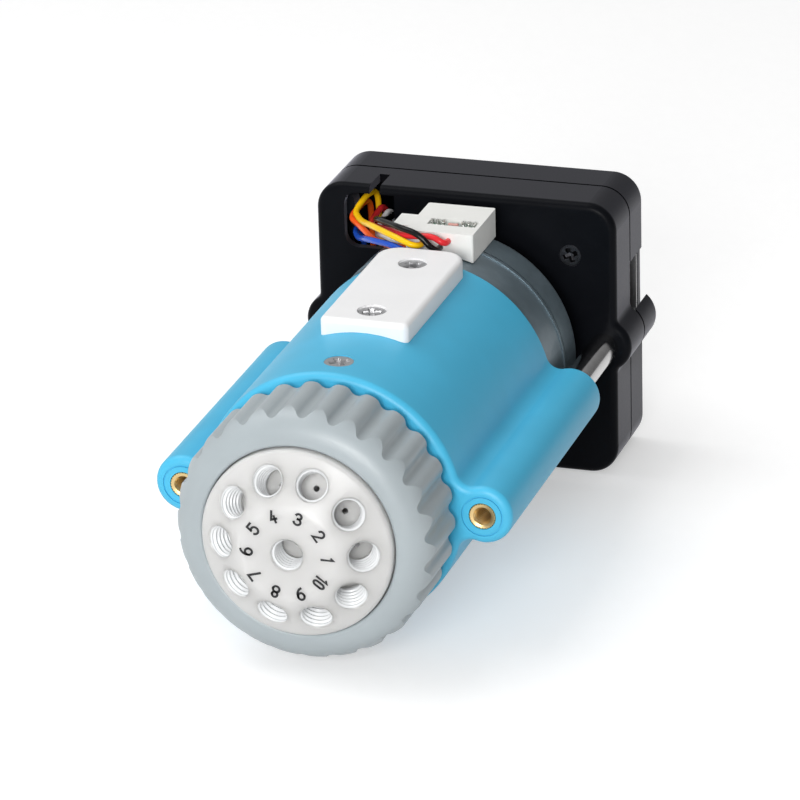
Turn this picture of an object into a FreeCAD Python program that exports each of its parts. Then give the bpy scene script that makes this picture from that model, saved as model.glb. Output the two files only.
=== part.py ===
import FreeCAD, Part
import math
import os

# Ten-way rotary selector valve on a geared stepper drive, with a controller box behind it.
# Millimetres. The origin is on the valve axis, in the front face of the blue housing, midway
# between the two brass inserts. -Y points out of the valve head, +X to the right, +Z up.
# Angles round the valve axis run from +X towards +Z, counter-clockwise seen from the front.

# Clearances
seat_clear = 0.02
run_clear = 0.03
thread_clear = 0.15
over = 1.0

# Housing
barrel_r = 26.9
housing_l = 64.4
barrel_wall = 3.3
gear_bore_wall = 2.5
gear_bore_l = 15.4
ear_r = 6.0
insert_spacing = 62.0
ear_blend_r = 3.0
front_edge_r = 1.5
rear_edge_r = 0.6
neck_wall = 4.0
neck_l = 14.0
web_y = 16.0
web_l = 7.0
web_lip_l = 1.6
insert_x = insert_spacing / 2
barrel_bore_r = barrel_r - barrel_wall
gear_bore_r = barrel_r - gear_bore_wall

# Brass inserts and the ring groove round each
insert_r = 2.75
insert_hole_r = 1.65
insert_l = 8.0
insert_hole_l = 12.0
groove_r = 3.9
groove_w = 0.35
groove_depth = 0.3

# Valve head
head_flat_r = 9.5
head_r = 19.5
head_slope = 30.0
head_front_y = -27.3
head_flange_step = 2.0
neck_rim = 0.5
head_flange_t = 3.0
head_edge_r = 1.2
head_flat_blend_r = 4.0
pilot_l = 3.0
plug_r = 12.0
seal_face_y = -5.0
port_count = 10
port_ring_r = 14.66
port_r = 3.175
port_depth = 6.5
port_mouth = 0.3
capillary_r = 0.6
head_flange_r = head_r + head_flange_step
neck_r = head_flange_r + neck_rim
neck_bore_r = neck_r - neck_wall
flange_front_y = -neck_l - head_flange_t

# Locating pins of the head
locator_r = 0.9
locator_l = 4.0
locator_angle = 54.0
locator_ring_r = (neck_r + neck_bore_r) / 2

# Cap nut and slip washer
cap_wall = 4.25
cap_l = 17.8
cap_lip_gap = 0.2
cap_shoulder_r = 6.0
cap_lip_edge_r = 0.7
cap_rear_edge_r = 0.5
flute_count = 26
flute_depth = 1.3
flute_crest_r = 2.6
flute_phase = 12.2
slip_t = 0.8
slip_inner_gap = 0.2
slip_rim = 0.1
slip_gap = 0.05
cap_lip_r = head_r + cap_lip_gap
slip_inner_r = cap_lip_r + slip_inner_gap
slip_outer_r = neck_r - slip_rim
lip_rear_y = flange_front_y - slip_t - 2 * slip_gap
cap_front_y = lip_rear_y - 2.6
cap_rear_y = cap_front_y + cap_l
cap_thread_r = neck_r + thread_clear
cap_r = cap_thread_r + cap_wall

# Valve rotor and its drive
rotor_r = 8.5
rotor_l = 5.0
rotor_groove_w = 1.0
rotor_groove_depth = 0.6
tongue_w = 3.0
tongue_l = 1.8
cup_r = 10.0
cup_l = 8.0
cup_bore_r = 4.05
cup_bore_l = 6.0
drive_pin_r = 1.0
drive_pin_y = 5.0
drive_pin_l = 19.0
disc_spring_r = 8.5
disc_spring_hole_r = 4.3
disc_spring_t = 0.5
disc_spring_rise = 0.42
disc_spring_count = 4
shaft_tip_r = 4.0
shaft_tip_y = 2.2
shaft_flange_r = 9.0
shaft_flange_l = 2.0
shaft_r = 5.0
spacer_r = 6.6
rotor_front_y = seal_face_y + seat_clear
cup_front_y = rotor_front_y + rotor_l + seat_clear
spring_front_y = cup_front_y + cup_l + seat_clear
spring_pitch = disc_spring_t + disc_spring_rise + seat_clear
shaft_flange_y = spring_front_y + disc_spring_count * spring_pitch

# Ball bearing
bearing_r = 11.0
bearing_l = 5.0
ball_r = 1.5
ball_ring_r = 8.0
ball_count = 7
race_gap = 1.3
groove_clear = 0.05
cage_l = 4.0
cage_t = 1.2

# Support plate behind the bearing
plate_l = 4.0
plate_r = barrel_bore_r - seat_clear
bush_r = 7.0
bush_flange_r = 8.5
bush_flange_t = 1.0
plate_screw_ring_r = 16.0
plate_screw_r = 1.5
plate_screw_head_r = 2.7
plate_screw_head_t = 1.8
plate_screw_l = 8.0

# Encoder disc, sensor and cover
disc_gap = 5.8
disc_run_gap = 2.6
disc_t = 0.8
disc_slot_w = 1.6
disc_rim = 1.2
disc_slot_l = 2.8
disc_home_l = 1.4
hub_r = 8.5
hub_l = 7.6
sensor_x = 5.5
sensor_l = 8.0
sensor_reach = 5.0
sensor_gap_l = 3.4
sensor_gap_rise = 1.2
window_clear = 0.6
cover_x = 9.2
cover_l = 42.2
cover_overlap = 0.1
cover_rise = 2.5
cover_front_r = 1.6
cover_rear_r = 5.0
cover_edge_r = 1.1
pocket_x = 7.2
pocket_l = 18.0
cover_screw_gap = 4.5
cover_top_wall = 1.2
board_t = 1.0
cover_screw_head_r = 3.0
cover_screw_head_t = 1.7
cover_screw_r = 1.5
cover_screw_l = 4.1
cover_screw_sink = 0.4
housing_screw_y = 7.2
housing_screw_wall = 2.9
sink = 0.1
housing_screw_l = barrel_r - neck_bore_r - housing_screw_wall
cover_top_z = barrel_r + cover_rise
board_top_z = cover_top_z - cover_top_wall - seat_clear
board_bottom_z = board_top_z - board_t

# Planetary stage
ring_rim = 2.2
sun_teeth = 12
planet_teeth = 15
ring_teeth = sun_teeth + 2 * planet_teeth
pressure_angle = 20.0
addendum = 0.9
dedendum = 1.2
backlash = 0.14
planet_count = 3
first_planet_angle = 90.0
gear_l = 7.6
gear_inset = 13.5
ring_y = housing_l - gear_bore_l + seat_clear
planet_pin_r = 1.5
planet_pin_clear = 0.05
carrier_gap = 0.5
carrier_t = 2.6
carrier_rim = 3.5
sun_l = 7.4
module = (gear_bore_r - ring_rim) / (ring_teeth / 2 + dedendum)
planet_ring_r = module * (sun_teeth + planet_teeth) / 2
carrier_r = planet_ring_r + carrier_rim
gear_y = housing_l - gear_inset
shaft_end_y = gear_y - carrier_gap
carrier_y = shaft_end_y - carrier_t
disc_y = carrier_y - disc_gap
disc_r = barrel_bore_r - disc_run_gap
disc_slot_outer_r = disc_r - disc_rim
disc_slot_inner_r = disc_slot_outer_r - disc_slot_l
disc_home_r = disc_slot_inner_r - disc_home_l
sensor_bottom_z = disc_r - sensor_reach
sensor_gap_top_z = disc_r + sensor_gap_rise
cover_y = housing_l + cover_overlap - cover_l
pocket_y = disc_y - pocket_l / 2
cover_screw_ys = (pocket_y - cover_screw_gap, pocket_y + pocket_l + cover_screw_gap)

# Motor
flange_t = 2.4
flange_hole_r = 5.1
motor_step = 0.9
can_t = 1.0
front_can_l = 12.2
rear_can_l = 8.8
seam_l = 1.0
seam_plate_inset = 0.8
lip_l = 0.8
lip_rise = 0.25
motor_shaft_r = 2.5
bush_l = 2.2
motor_bush_r = 5.0
magnet_r = 12.6
magnet_end_gap = 1.5
bobbin_clear = 0.4
bobbin_inner_r = 13.4
bobbin_wall = 0.7
bobbin_gap = 0.25
motor_r = barrel_r - motor_step
seam_plate_r = motor_r - seam_plate_inset
bobbin_r = motor_r - can_t - bobbin_clear
motor_y = housing_l + seat_clear
seam_y = motor_y + front_can_l
rear_can_y = seam_y + seam_l
motor_end_y = rear_can_y + rear_can_l

# Terminal cover on the motor
terminal_x0 = -6.1
terminal_x1 = 8.5
terminal_inset = 5.3
terminal_rise = 5.0
step_x0 = -10.2
step_inset = 4.0
step_l = 6.7
step_rise = 4.4
terminal_slot_x0 = -2.8
terminal_slot_x1 = 7.6
terminal_slot_inset = 4.5
terminal_slot_l = 3.4
terminal_slot_depth = 2.0
terminal_edge_r = 0.5
terminal_pin_r = 0.35
terminal_pin_xs = (-2.1, -0.9, 0.3, 4.6, 5.8, 7.0)
terminal_pin_l = 4.0
terminal_board_l = 2.6
terminal_y = housing_l + terminal_inset
terminal_top_z = motor_r + terminal_rise
step_y0 = terminal_y + step_inset
step_y1 = step_y0 + step_l
step_top_z = motor_r + step_rise
terminal_slot_y0 = terminal_y + terminal_slot_inset
terminal_slot_y1 = terminal_slot_y0 + terminal_slot_l

# Posts
post_gap = 1.1
post_r = 3.1
post_l = 26.8
stud_r = 1.5
stud_l = 6.0
post_hole_l = 6.0
post_x = motor_r + post_gap + post_r

# Controller box
box_side = 2.7
box_bottom_z = -29.2
box_top_z = 31.7
front_shell_l = 11.4
rear_cover_l = 10.4
box_wall = 1.8
box_corner_r = 6.0
box_front_r = 1.5
box_rear_r = 1.0
lobe_r = 5.8
lobe_blend_r = 2.0
part_line = 0.25
part_line_l = 0.6
wire_window_x0 = -26.6
wire_window_x1 = -15.4
wire_window_z0 = 17.6
wire_window_r = 3.0
wire_slot_x0 = -20.9
wire_slot_x1 = -18.6
wire_slot_l = 7.6
post_screw_r = 1.5
post_screw_head_r = 2.7
post_screw_head_t = 2.0
post_screw_room_r = 3.3
board_inset = 5.4
pcb_t = 1.6
pcb_edge = 0.8
pcb_notch_x = -13.6
pcb_notch_z = 14.6
standoff_r = 3.0
board_screw_x = 23.1
board_screw_z = 20.0
board_screw_r = 1.25
board_screw_head_r = 2.4
board_screw_head_t = 1.4
case_screw_inset = 5.1
case_screw_r = 1.25
case_screw_head_r = 2.3
case_screw_head_t = 1.6
case_post_r = 3.0
box_x = post_x + box_side
box_y = housing_l + post_l
board_y = box_y + board_inset
split_y = box_y + front_shell_l
box_end_y = split_y + rear_cover_l
pcb_back_y = board_y + pcb_t

# Connectors and parts on the controller board
header_x0 = -26.6
header_x1 = -14.4
header_z0 = 5.6
header_z1 = 12.4
header_l = 5.2
socket_x0 = 20.6
socket_z0 = 1.4
socket_z1 = 14.6
socket_wall = 0.4
socket_nose_gap = 0.8
socket_window_clear = 0.3
socket_end_gap = 0.6
socket_recess = 0.6
socket_recess_edge = 0.5
socket_nose_y = split_y + socket_nose_gap
socket_end_y = box_end_y - box_wall - socket_end_gap
chip_size = 7.0
chip_t = 1.2
chip_places = ((-2.0, 8.0), (-8.0, -12.0))
capacitor_r = 3.1
capacitor_l = 5.5
capacitor_places = ((8.0, -16.0), (17.0, -16.0))

# Wires
wire_r = 0.65
wire_drop = 3.6


def V(x, y, z):
    """Short form of a point."""
    return FreeCAD.Vector(x, y, z)


def rod(radius, y0, y1, x=0.0, z=0.0):
    """Solid cylinder along Y from y0 to y1."""
    return Part.makeCylinder(radius, y1 - y0, V(x, y0, z), V(0, 1, 0))


def sleeve(outer, inner, y0, y1, x=0.0, z=0.0):
    """Tube along Y with square ends."""
    return rod(outer, y0, y1, x, z).cut(rod(inner, y0 - over, y1 + over, x, z))


def block(x0, x1, y0, y1, z0, z1):
    """Box between two corners."""
    return Part.makeBox(x1 - x0, y1 - y0, z1 - z0, V(x0, y0, z0))


def turn(shape, degrees, x=0.0, z=0.0):
    """Copy turned round an axis along Y, counter-clockwise seen from the front."""
    copy = shape.copy()
    copy.rotate(V(x, 0, z), V(0, -1, 0), degrees)
    return copy


def around(shape, count, start=0.0):
    """Copies of a shape evenly spaced round the valve axis."""
    return [turn(shape, start + 360.0 * i / count) for i in range(count)]


def cut_all(shape, tools):
    """Shape less each of the tools."""
    return shape.cut(tools)


def joined(shapes):
    """One solid from shapes that share volume."""
    return shapes[0].fuse(shapes[1:]).removeSplitter()


def corner_edges(corners, place):
    """Lines and arcs of a closed outline: each corner is (u, v, radius)."""
    count = len(corners)
    entries = []
    exits = []
    mids = []
    for i, (u, v, radius) in enumerate(corners):
        here = FreeCAD.Vector(u, v, 0)
        before = FreeCAD.Vector(*corners[i - 1][:2], 0).sub(here).normalize()
        after = FreeCAD.Vector(*corners[(i + 1) % count][:2], 0).sub(here).normalize()
        half = before.getAngle(after) / 2
        reach = radius / math.tan(half)
        entries.append(here + before * reach)
        exits.append(here + after * reach)
        bisector = (before + after).normalize() if radius else before
        mids.append(here + bisector * (radius / math.sin(half) - radius) if radius else here)
    edges = []
    for i in range(count):
        if corners[i][2]:
            points = [place(p.x, p.y) for p in (entries[i], mids[i], exits[i])]
            edges.append(Part.Arc(*points).toShape())
        start = exits[i]
        end = entries[(i + 1) % count]
        if start.distanceToPoint(end) > 1e-6:
            edges.append(Part.LineSegment(place(start.x, start.y), place(end.x, end.y)).toShape())
    return edges


def arc_outline(arcs, y):
    """Flat face at y bounded by arcs, joined by straight lines: each arc is (x, z, radius, from, to)."""
    runs = []
    for x, z, radius, start, end in arcs:
        angles = [math.radians(a) for a in (start, (start + end) / 2, end)]
        runs.append([V(x + radius * math.cos(a), y, z + radius * math.sin(a)) for a in angles])
    edges = []
    for i, points in enumerate(runs):
        before = runs[i - 1][-1]
        if before.distanceToPoint(points[0]) > 1e-6:
            edges.append(Part.LineSegment(before, points[0]).toShape())
        edges.append(Part.Arc(*points).toShape())
    return face_of(edges)


def face_of(edges):
    """Flat face inside a closed run of edges."""
    return Part.Face(Part.Wire(edges))


def turned(corners):
    """Solid of revolution about the valve axis: each corner is (r, y, radius)."""
    profile = face_of(corner_edges(corners, lambda r, y: V(r, y, 0)))
    return profile.revolve(V(0, 0, 0), V(0, 1, 0), 360)


def prism_y(corners, y0, y1):
    """Outline in the XZ plane drawn out along Y."""
    profile = face_of(corner_edges(corners, lambda x, z: V(x, y0, z)))
    return profile.extrude(V(0, y1 - y0, 0))


def prism_z(corners, z0, z1):
    """Outline in the XY plane drawn out along Z."""
    profile = face_of(corner_edges(corners, lambda x, y: V(x, y, z0)))
    return profile.extrude(V(0, 0, z1 - z0))


def edges_at_y(shape, y):
    """Edges that lie in the plane at y."""
    return [e for e in shape.Edges if abs(e.BoundBox.YMin - y) < 1e-4 and abs(e.BoundBox.YMax - y) < 1e-4]


def tube(points, radius):
    """Round lead along straight runs, with a tangent arc at each corner."""
    path = [FreeCAD.Vector(*p) for p in points]
    runs = [path[i + 1].sub(path[i]).Length for i in range(len(path) - 1)]
    edges = []
    radii = []
    start = path[0]
    for i in range(1, len(path) - 1):
        here = path[i]
        before = path[i - 1].sub(here).normalize()
        after = path[i + 1].sub(here).normalize()
        half = before.getAngle(after) / 2
        reach = 0.45 * min(runs[i - 1], runs[i])
        bend = reach * math.tan(half)
        radii.append(round(bend, 1))
        entry = here + before * reach
        leave = here + after * reach
        bisector = (before + after).normalize()
        middle = here + bisector * (bend / math.sin(half) - bend)
        edges.append(Part.LineSegment(start, entry).toShape())
        edges.append(Part.Arc(entry, middle, leave).toShape())
        start = leave
    edges.append(Part.LineSegment(start, path[-1]).toShape())
    wire = Part.Wire(edges)
    section = Part.Wire(Part.makeCircle(radius, path[0], path[1].sub(path[0])))
    solid = wire.makePipeShell([section], True, False)
    ratio = solid.Volume / (math.pi * radius ** 2 * wire.Length)
    print("lead length %.1f, radii %s, volume ratio %.4f" % (wire.Length, radii, ratio))
    return solid


def export(name, shapes):
    """One STEP file with the solids of a sub-part."""
    group = shapes if isinstance(shapes, list) else [shapes]
    solids = [solid for shape in group for solid in shape.Solids]
    result = solids[0] if len(solids) == 1 else Part.makeCompound(solids)
    bad = [i for i, solid in enumerate(solids) if not solid.isValid() or solid.Volume <= 0]
    if bad:
        print("BAD SOLID in", name, bad)
    result.exportStep("parts/%s.step" % name)


# Screws

def countersunk_screw(head_r, head_t, shank_r, length):
    """Countersunk screw pointing down, its head's top face at the origin."""
    cone = Part.makeCone(shank_r, head_r, head_t, V(0, 0, -head_t))
    shank = Part.makeCylinder(shank_r, length - head_t, V(0, 0, -length))
    return joined([cone, shank])


def countersink(head_r, head_t, shank_r, length, clear):
    """Hole for a countersunk screw, opened by a clearance."""
    cone = Part.makeCone(shank_r + clear, head_r + clear, head_t, V(0, 0, -head_t))
    mouth = Part.makeCylinder(head_r + clear, over, V(0, 0, 0))
    shank = Part.makeCylinder(shank_r + clear, length, V(0, 0, -length))
    return joined([cone, mouth, shank])


def at(shape, x, y, z):
    """Copy moved to a point."""
    copy = shape.copy()
    copy.translate(V(x, y, z))
    return copy


def facing_front(shape):
    """Copy of a downward screw or hole turned so that its head faces -Y."""
    copy = shape.copy()
    copy.rotate(V(0, 0, 0), V(1, 0, 0), 90)
    return copy


def pan_screw(head_r, head_t, shank_r, length):
    """Pan head screw along Y: the head's underside at the origin, the shank towards -Y."""
    return joined([rod(head_r, 0, head_t), rod(shank_r, -length, head_t / 2)])


# Housing

def housing_body():
    """Barrel and its two ears, in one outline of arcs that run into each other."""
    reach = barrel_r + ear_blend_r
    x = (insert_x ** 2 + reach ** 2 - (ear_r + ear_blend_r) ** 2) / (2 * insert_x)
    z = math.sqrt(reach ** 2 - x ** 2)
    on_barrel = math.degrees(math.atan2(z, x))
    on_ear = math.degrees(math.atan2(z, x - insert_x))
    arcs = []
    for side, half_turn in ((1, 0), (-1, 180)):
        arcs += [
            (side * insert_x, 0, ear_r, half_turn - on_ear, half_turn + on_ear),
            (side * x, side * z, ear_blend_r, half_turn + on_ear + 180, half_turn + on_barrel + 180),
            (0, 0, barrel_r, half_turn + on_barrel, half_turn + 180 - on_barrel),
            (-side * x, side * z, ear_blend_r, half_turn - on_barrel, half_turn - on_ear),
        ]
    return arc_outline(arcs, 0).extrude(V(0, housing_l, 0))


def cover_screw_sets(clear):
    """Holes of the two cover screws, opened by a clearance."""
    hole = countersink(cover_screw_head_r, cover_screw_head_t, cover_screw_r, cover_screw_l + sink, clear)
    return [at(hole, 0, y, cover_top_z - cover_screw_sink) for y in cover_screw_ys]


def housing():
    """Barrel with ears, threaded neck, bearing web and stepped bore."""
    body = housing_body()
    body = body.makeFillet(front_edge_r, edges_at_y(body, 0))
    body = body.makeFillet(rear_edge_r, edges_at_y(body, housing_l))
    body = joined([body, rod(neck_r, -neck_l, over)])
    tools = [
        rod(neck_bore_r, -neck_l - over, web_y),
        rod(bearing_r + seat_clear, web_y - over, web_y + bearing_l + seat_clear),
        rod(bearing_r - web_lip_l, web_y, web_y + web_l + over),
        rod(barrel_bore_r, web_y + web_l, housing_l),
        rod(gear_bore_r, housing_l - gear_bore_l, housing_l + over),
    ]
    for side in (-1, 1):
        x = side * insert_x
        tools.append(rod(insert_r + seat_clear, -over, insert_l, x))
        tools.append(rod(insert_hole_r, 0, insert_hole_l, x))
        tools.append(sleeve(groove_r + groove_w, groove_r, -over, groove_depth, x))
        tools.append(rod(stud_r + seat_clear, housing_l - stud_l - over, housing_l + over, side * post_x))
    tools.append(block(-sensor_x - window_clear, sensor_x + window_clear,
                       disc_y - sensor_l / 2 - window_clear, disc_y + sensor_l / 2 + window_clear,
                       sensor_bottom_z, barrel_r + over))
    tools += cover_screw_sets(seat_clear)
    screw_hole = countersink(cover_screw_head_r, cover_screw_head_t, cover_screw_r,
                             housing_screw_l + sink, seat_clear)
    tools.append(at(screw_hole, 0, housing_screw_y, barrel_r - sink * 2))
    for angle in (locator_angle, locator_angle + 180):
        tools.append(turn(rod(locator_r + seat_clear, -neck_l - over, -neck_l + locator_l / 2 + sink,
                              locator_ring_r), angle))
    tools += around(rod(plate_screw_r + seat_clear, web_y + web_l - plate_screw_l + plate_l,
                        web_y + web_l + over, plate_screw_ring_r), planet_count, first_planet_angle)
    return cut_all(body, tools)


def brass_inserts():
    """Threaded inserts of the two ears."""
    return [sleeve(insert_r, insert_hole_r, 0, insert_l - seat_clear, side * insert_x) for side in (-1, 1)]


# Valve head

def head_surface_y(r):
    """Height of the head's sloping face at a radius."""
    return head_front_y + (r - head_flat_r) * math.tan(math.radians(head_slope))


def inclined(solid):
    """Copy of a tool along the valve axis, tilted and moved to the mouth of the first port."""
    copy = solid.copy()
    copy.rotate(V(0, 0, 0), V(0, 0, 1), head_slope)
    copy.translate(V(port_ring_r, head_surface_y(port_ring_r), 0))
    return copy


def port_tool(length):
    """Port bore with its mouth at the origin, and the capillary that goes on to the seal face."""
    bore = rod(port_r, -over * 3, port_depth)
    mouth = Part.makeCone(port_r + port_mouth, port_r, port_mouth, V(0, 0, 0), V(0, 1, 0))
    return joined([bore, mouth, rod(capillary_r, 0, length)])


def valve_head():
    """Stator: flat face, sloping ring of ports, flange, pilot and sealing plug."""
    rim_y = head_surface_y(head_r)
    profile = [
        (0, head_front_y, 0),
        (head_flat_r, head_front_y, head_flat_blend_r),
        (head_r, rim_y, head_edge_r),
        (head_r, flange_front_y, 0),
        (head_flange_r, flange_front_y, 0),
        (head_flange_r, -neck_l - seat_clear, 0),
        (neck_bore_r - run_clear, -neck_l - seat_clear, 0),
        (neck_bore_r - run_clear, -neck_l + pilot_l, 0),
        (plug_r, -neck_l + pilot_l, 0),
        (plug_r, seal_face_y, 0),
        (0, seal_face_y, 0),
    ]
    body = turned(profile)
    reach = (seal_face_y - head_surface_y(port_ring_r)) / math.cos(math.radians(head_slope))
    tools = around(inclined(port_tool(reach + over)), port_count)
    tools.append(at(port_tool(seal_face_y - head_front_y + over), 0, head_front_y, 0))
    for angle in (locator_angle, locator_angle + 180):
        tools.append(turn(rod(locator_r + seat_clear, -neck_l - locator_l / 2 - sink, -neck_l + over,
                              locator_ring_r), angle))
    return cut_all(body, tools)


def locating_pins():
    """Two pins that key the head to the housing's neck."""
    pin = rod(locator_r, -neck_l - locator_l / 2, -neck_l + locator_l / 2, locator_ring_r)
    return [turn(pin, locator_angle), turn(pin, locator_angle + 180)]


# Cap nut

def flute_wave(y0, y1):
    """Prism of round crests and round valleys that run into each other."""
    step = 180.0 / flute_count
    floor_r = cap_r - flute_depth
    crest_axis = cap_r - flute_crest_r
    along = crest_axis * math.cos(math.radians(step))
    across = crest_axis * math.sin(math.radians(step))
    gap = (along - floor_r) ** 2 + across ** 2 - flute_crest_r ** 2
    valley_r = gap / (2 * (flute_crest_r - floor_r + along))
    valley_axis = floor_r + valley_r
    rise = valley_axis * math.sin(math.radians(step))
    lean = math.degrees(math.atan2(rise, valley_axis * math.cos(math.radians(step)) - crest_axis))
    arcs = []
    for i in range(flute_count):
        crest = flute_phase + 2 * step * i
        a, b = math.radians(crest), math.radians(crest + step)
        arcs.append((crest_axis * math.cos(a), crest_axis * math.sin(a), flute_crest_r,
                     crest - lean, crest + lean))
        arcs.append((valley_axis * math.cos(b), valley_axis * math.sin(b), valley_r,
                     crest + lean + 180, crest + 2 * step - lean + 180))
    return arc_outline(arcs, y0).extrude(V(0, y1 - y0, 0))


def cap_nut():
    """Fluted clamping nut with a lip over the head's flange and a round shoulder."""
    outer_r = cap_r + sink
    profile = [
        (cap_lip_r, cap_front_y, cap_lip_edge_r),
        (outer_r, cap_front_y, cap_shoulder_r),
        (outer_r, cap_rear_y, cap_rear_edge_r),
        (cap_thread_r, cap_rear_y, cap_rear_edge_r),
        (cap_thread_r, lip_rear_y, 0),
        (cap_lip_r, lip_rear_y, 0),
    ]
    return turned(profile).common(flute_wave(cap_front_y - over, cap_rear_y + over))


def slip_washer():
    """Low-friction washer between the cap's lip and the head's flange."""
    front = flange_front_y - slip_gap - slip_t
    return sleeve(slip_outer_r, slip_inner_r, front, front + slip_t)


# Valve rotor and shaft

def valve_rotor():
    """Sealing disc with the groove that joins the common port to one ring port."""
    disc = rod(rotor_r, rotor_front_y, rotor_front_y + rotor_l)
    depth = seal_face_y - head_surface_y(port_ring_r)
    seal_ring_r = port_ring_r - depth * math.tan(math.radians(head_slope))
    groove = block(0, seal_ring_r, rotor_front_y - over, rotor_front_y + rotor_groove_depth,
                   -rotor_groove_w / 2, rotor_groove_w / 2)
    ends = [rod(rotor_groove_w / 2, rotor_front_y - over, rotor_front_y + rotor_groove_depth, x)
            for x in (0, seal_ring_r)]
    half = tongue_w / 2 + seat_clear
    slot = block(-rotor_r - over, rotor_r + over, rotor_front_y + rotor_l - tongue_l - seat_clear,
                 rotor_front_y + rotor_l + over, -half, half)
    return cut_all(disc, [joined([groove] + ends), slot])


def rotor_cup():
    """Cup that drives the rotor by a tongue and is driven by the cross pin."""
    body = rod(cup_r, cup_front_y, cup_front_y + cup_l)
    tongue = block(-rotor_r + over, rotor_r - over, cup_front_y - tongue_l, cup_front_y + over,
                   -tongue_w / 2, tongue_w / 2)
    bore = rod(cup_bore_r, cup_front_y + cup_l - cup_bore_l, cup_front_y + cup_l + over)
    pin_hole = Part.makeCylinder(drive_pin_r + seat_clear, 4 * cup_r, V(0, drive_pin_y, -2 * cup_r))
    return cut_all(joined([body, tongue]), [bore, pin_hole])


def drive_pin():
    """Cross pin through the cup and the slot in the shaft's tip."""
    return Part.makeCylinder(drive_pin_r, drive_pin_l, V(0, drive_pin_y, -drive_pin_l / 2))


def disc_springs():
    """Stack of disc springs, each turned over against the one before."""
    stack = []
    for i in range(disc_spring_count):
        y = spring_front_y + i * spring_pitch
        low = y + (disc_spring_rise if i % 2 else 0)
        high = y + (0 if i % 2 else disc_spring_rise)
        stack.append(turned([
            (disc_spring_hole_r, low, 0),
            (disc_spring_r, high, 0),
            (disc_spring_r, high + disc_spring_t, 0),
            (disc_spring_hole_r, low + disc_spring_t, 0),
        ]))
    return stack


def output_shaft():
    """Stepped shaft: slotted tip, spring flange, bearing journal and carrier seat."""
    body = joined([
        rod(shaft_tip_r, shaft_tip_y, shaft_flange_y + over),
        rod(shaft_flange_r, shaft_flange_y, shaft_flange_y + shaft_flange_l),
        rod(shaft_r, shaft_flange_y + over, shaft_end_y),
    ])
    half = drive_pin_r + run_clear
    slot = block(-half, half, drive_pin_y - 2 * drive_pin_r, drive_pin_y + 2 * drive_pin_r,
                 -shaft_r - over, shaft_r + over)
    return body.cut(slot)


def spacer_washer():
    """Spacer between the shaft's flange and the bearing's inner race."""
    return sleeve(spacer_r, shaft_r + seat_clear, shaft_flange_y + shaft_flange_l + seat_clear,
                  web_y - seat_clear)


# Ball bearing

def race_groove():
    """Ring that clears the balls in both races."""
    y = web_y + bearing_l / 2
    return Part.makeTorus(ball_ring_r, ball_r + groove_clear, V(0, y, 0), V(0, 1, 0))


def outer_race():
    """Fixed race in the housing's web."""
    return sleeve(bearing_r, ball_ring_r + race_gap, web_y, web_y + bearing_l).cut(race_groove())


def inner_race():
    """Race on the shaft."""
    return sleeve(ball_ring_r - race_gap, shaft_r + seat_clear, web_y, web_y + bearing_l).cut(race_groove())


def bearing_balls():
    """Balls, evenly spaced."""
    ball = Part.makeSphere(ball_r, V(ball_ring_r, web_y + bearing_l / 2, 0))
    return around(ball, ball_count)


def bearing_cage():
    """Ring with a pocket for each ball."""
    middle = web_y + bearing_l / 2
    ring = sleeve(ball_ring_r + cage_t / 2, ball_ring_r - cage_t / 2,
                  middle - cage_l / 2, middle + cage_l / 2)
    pocket = Part.makeCylinder(ball_r + groove_clear, 2 * bearing_r, V(0, middle, 0), V(1, 0, 0))
    return cut_all(ring, around(pocket, ball_count))


def support_plate():
    """Plate that closes the web behind the bearing and carries the bronze bush."""
    front = web_y + web_l + seat_clear
    plate = rod(plate_r, front, front + plate_l)
    tools = [rod(bush_r + seat_clear, front - over, front + plate_l + over)]
    tools += around(rod(plate_screw_r + seat_clear, front - over, front + plate_l + over,
                        plate_screw_ring_r), planet_count, first_planet_angle)
    return cut_all(plate, tools)


def support_bush():
    """Flanged bronze bush for the shaft."""
    rear = web_y + web_l + seat_clear + plate_l
    body = joined([rod(bush_r, rear - plate_l, rear + over), rod(bush_flange_r, rear + seat_clear,
                                                                 rear + bush_flange_t)])
    return body.cut(rod(shaft_r + run_clear, rear - plate_l - over, rear + plate_l))


def plate_screws():
    """Pan screws that hold the support plate."""
    rear = web_y + web_l + plate_l + 2 * seat_clear
    screw = at(pan_screw(plate_screw_head_r, plate_screw_head_t, plate_screw_r, plate_screw_l),
               plate_screw_ring_r, rear, 0)
    return around(screw, planet_count, first_planet_angle)


# Encoder, sensor and cover

def encoder_disc():
    """Slotted disc on a hub: one slot for each port, and a longer home slot."""
    disc = rod(disc_r, disc_y - disc_t / 2, disc_y + disc_t / 2)
    hub = rod(hub_r, disc_y - hub_l / 2, disc_y + hub_l / 2)
    tools = [rod(shaft_r + seat_clear, disc_y - hub_l, disc_y + hub_l)]
    slot = block(disc_slot_inner_r, disc_slot_outer_r, disc_y - over, disc_y + over,
                 -disc_slot_w / 2, disc_slot_w / 2)
    tools += around(slot, port_count)
    tools.append(turn(block(disc_home_r, disc_slot_inner_r + over / 2, disc_y - over, disc_y + over,
                            -disc_slot_w / 2, disc_slot_w / 2), first_planet_angle - 180.0 / port_count))
    return cut_all(joined([disc, hub]), tools)


def optical_sensor():
    """Forked light barrier that straddles the rim of the disc."""
    front = disc_y - sensor_l / 2
    body = block(-sensor_x, sensor_x, front, front + sensor_l, sensor_bottom_z + seat_clear,
                 board_bottom_z - seat_clear)
    gap = block(-sensor_x - over, sensor_x + over, disc_y - sensor_gap_l / 2, disc_y + sensor_gap_l / 2,
                sensor_bottom_z - over, sensor_gap_top_z)
    return body.cut(gap)


def sensor_board():
    """Small circuit board in the cover's pocket."""
    inset = 2 * seat_clear
    return block(-pocket_x + inset, pocket_x - inset, pocket_y + inset, pocket_y + pocket_l - inset,
                 board_bottom_z, board_top_z)


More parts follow.
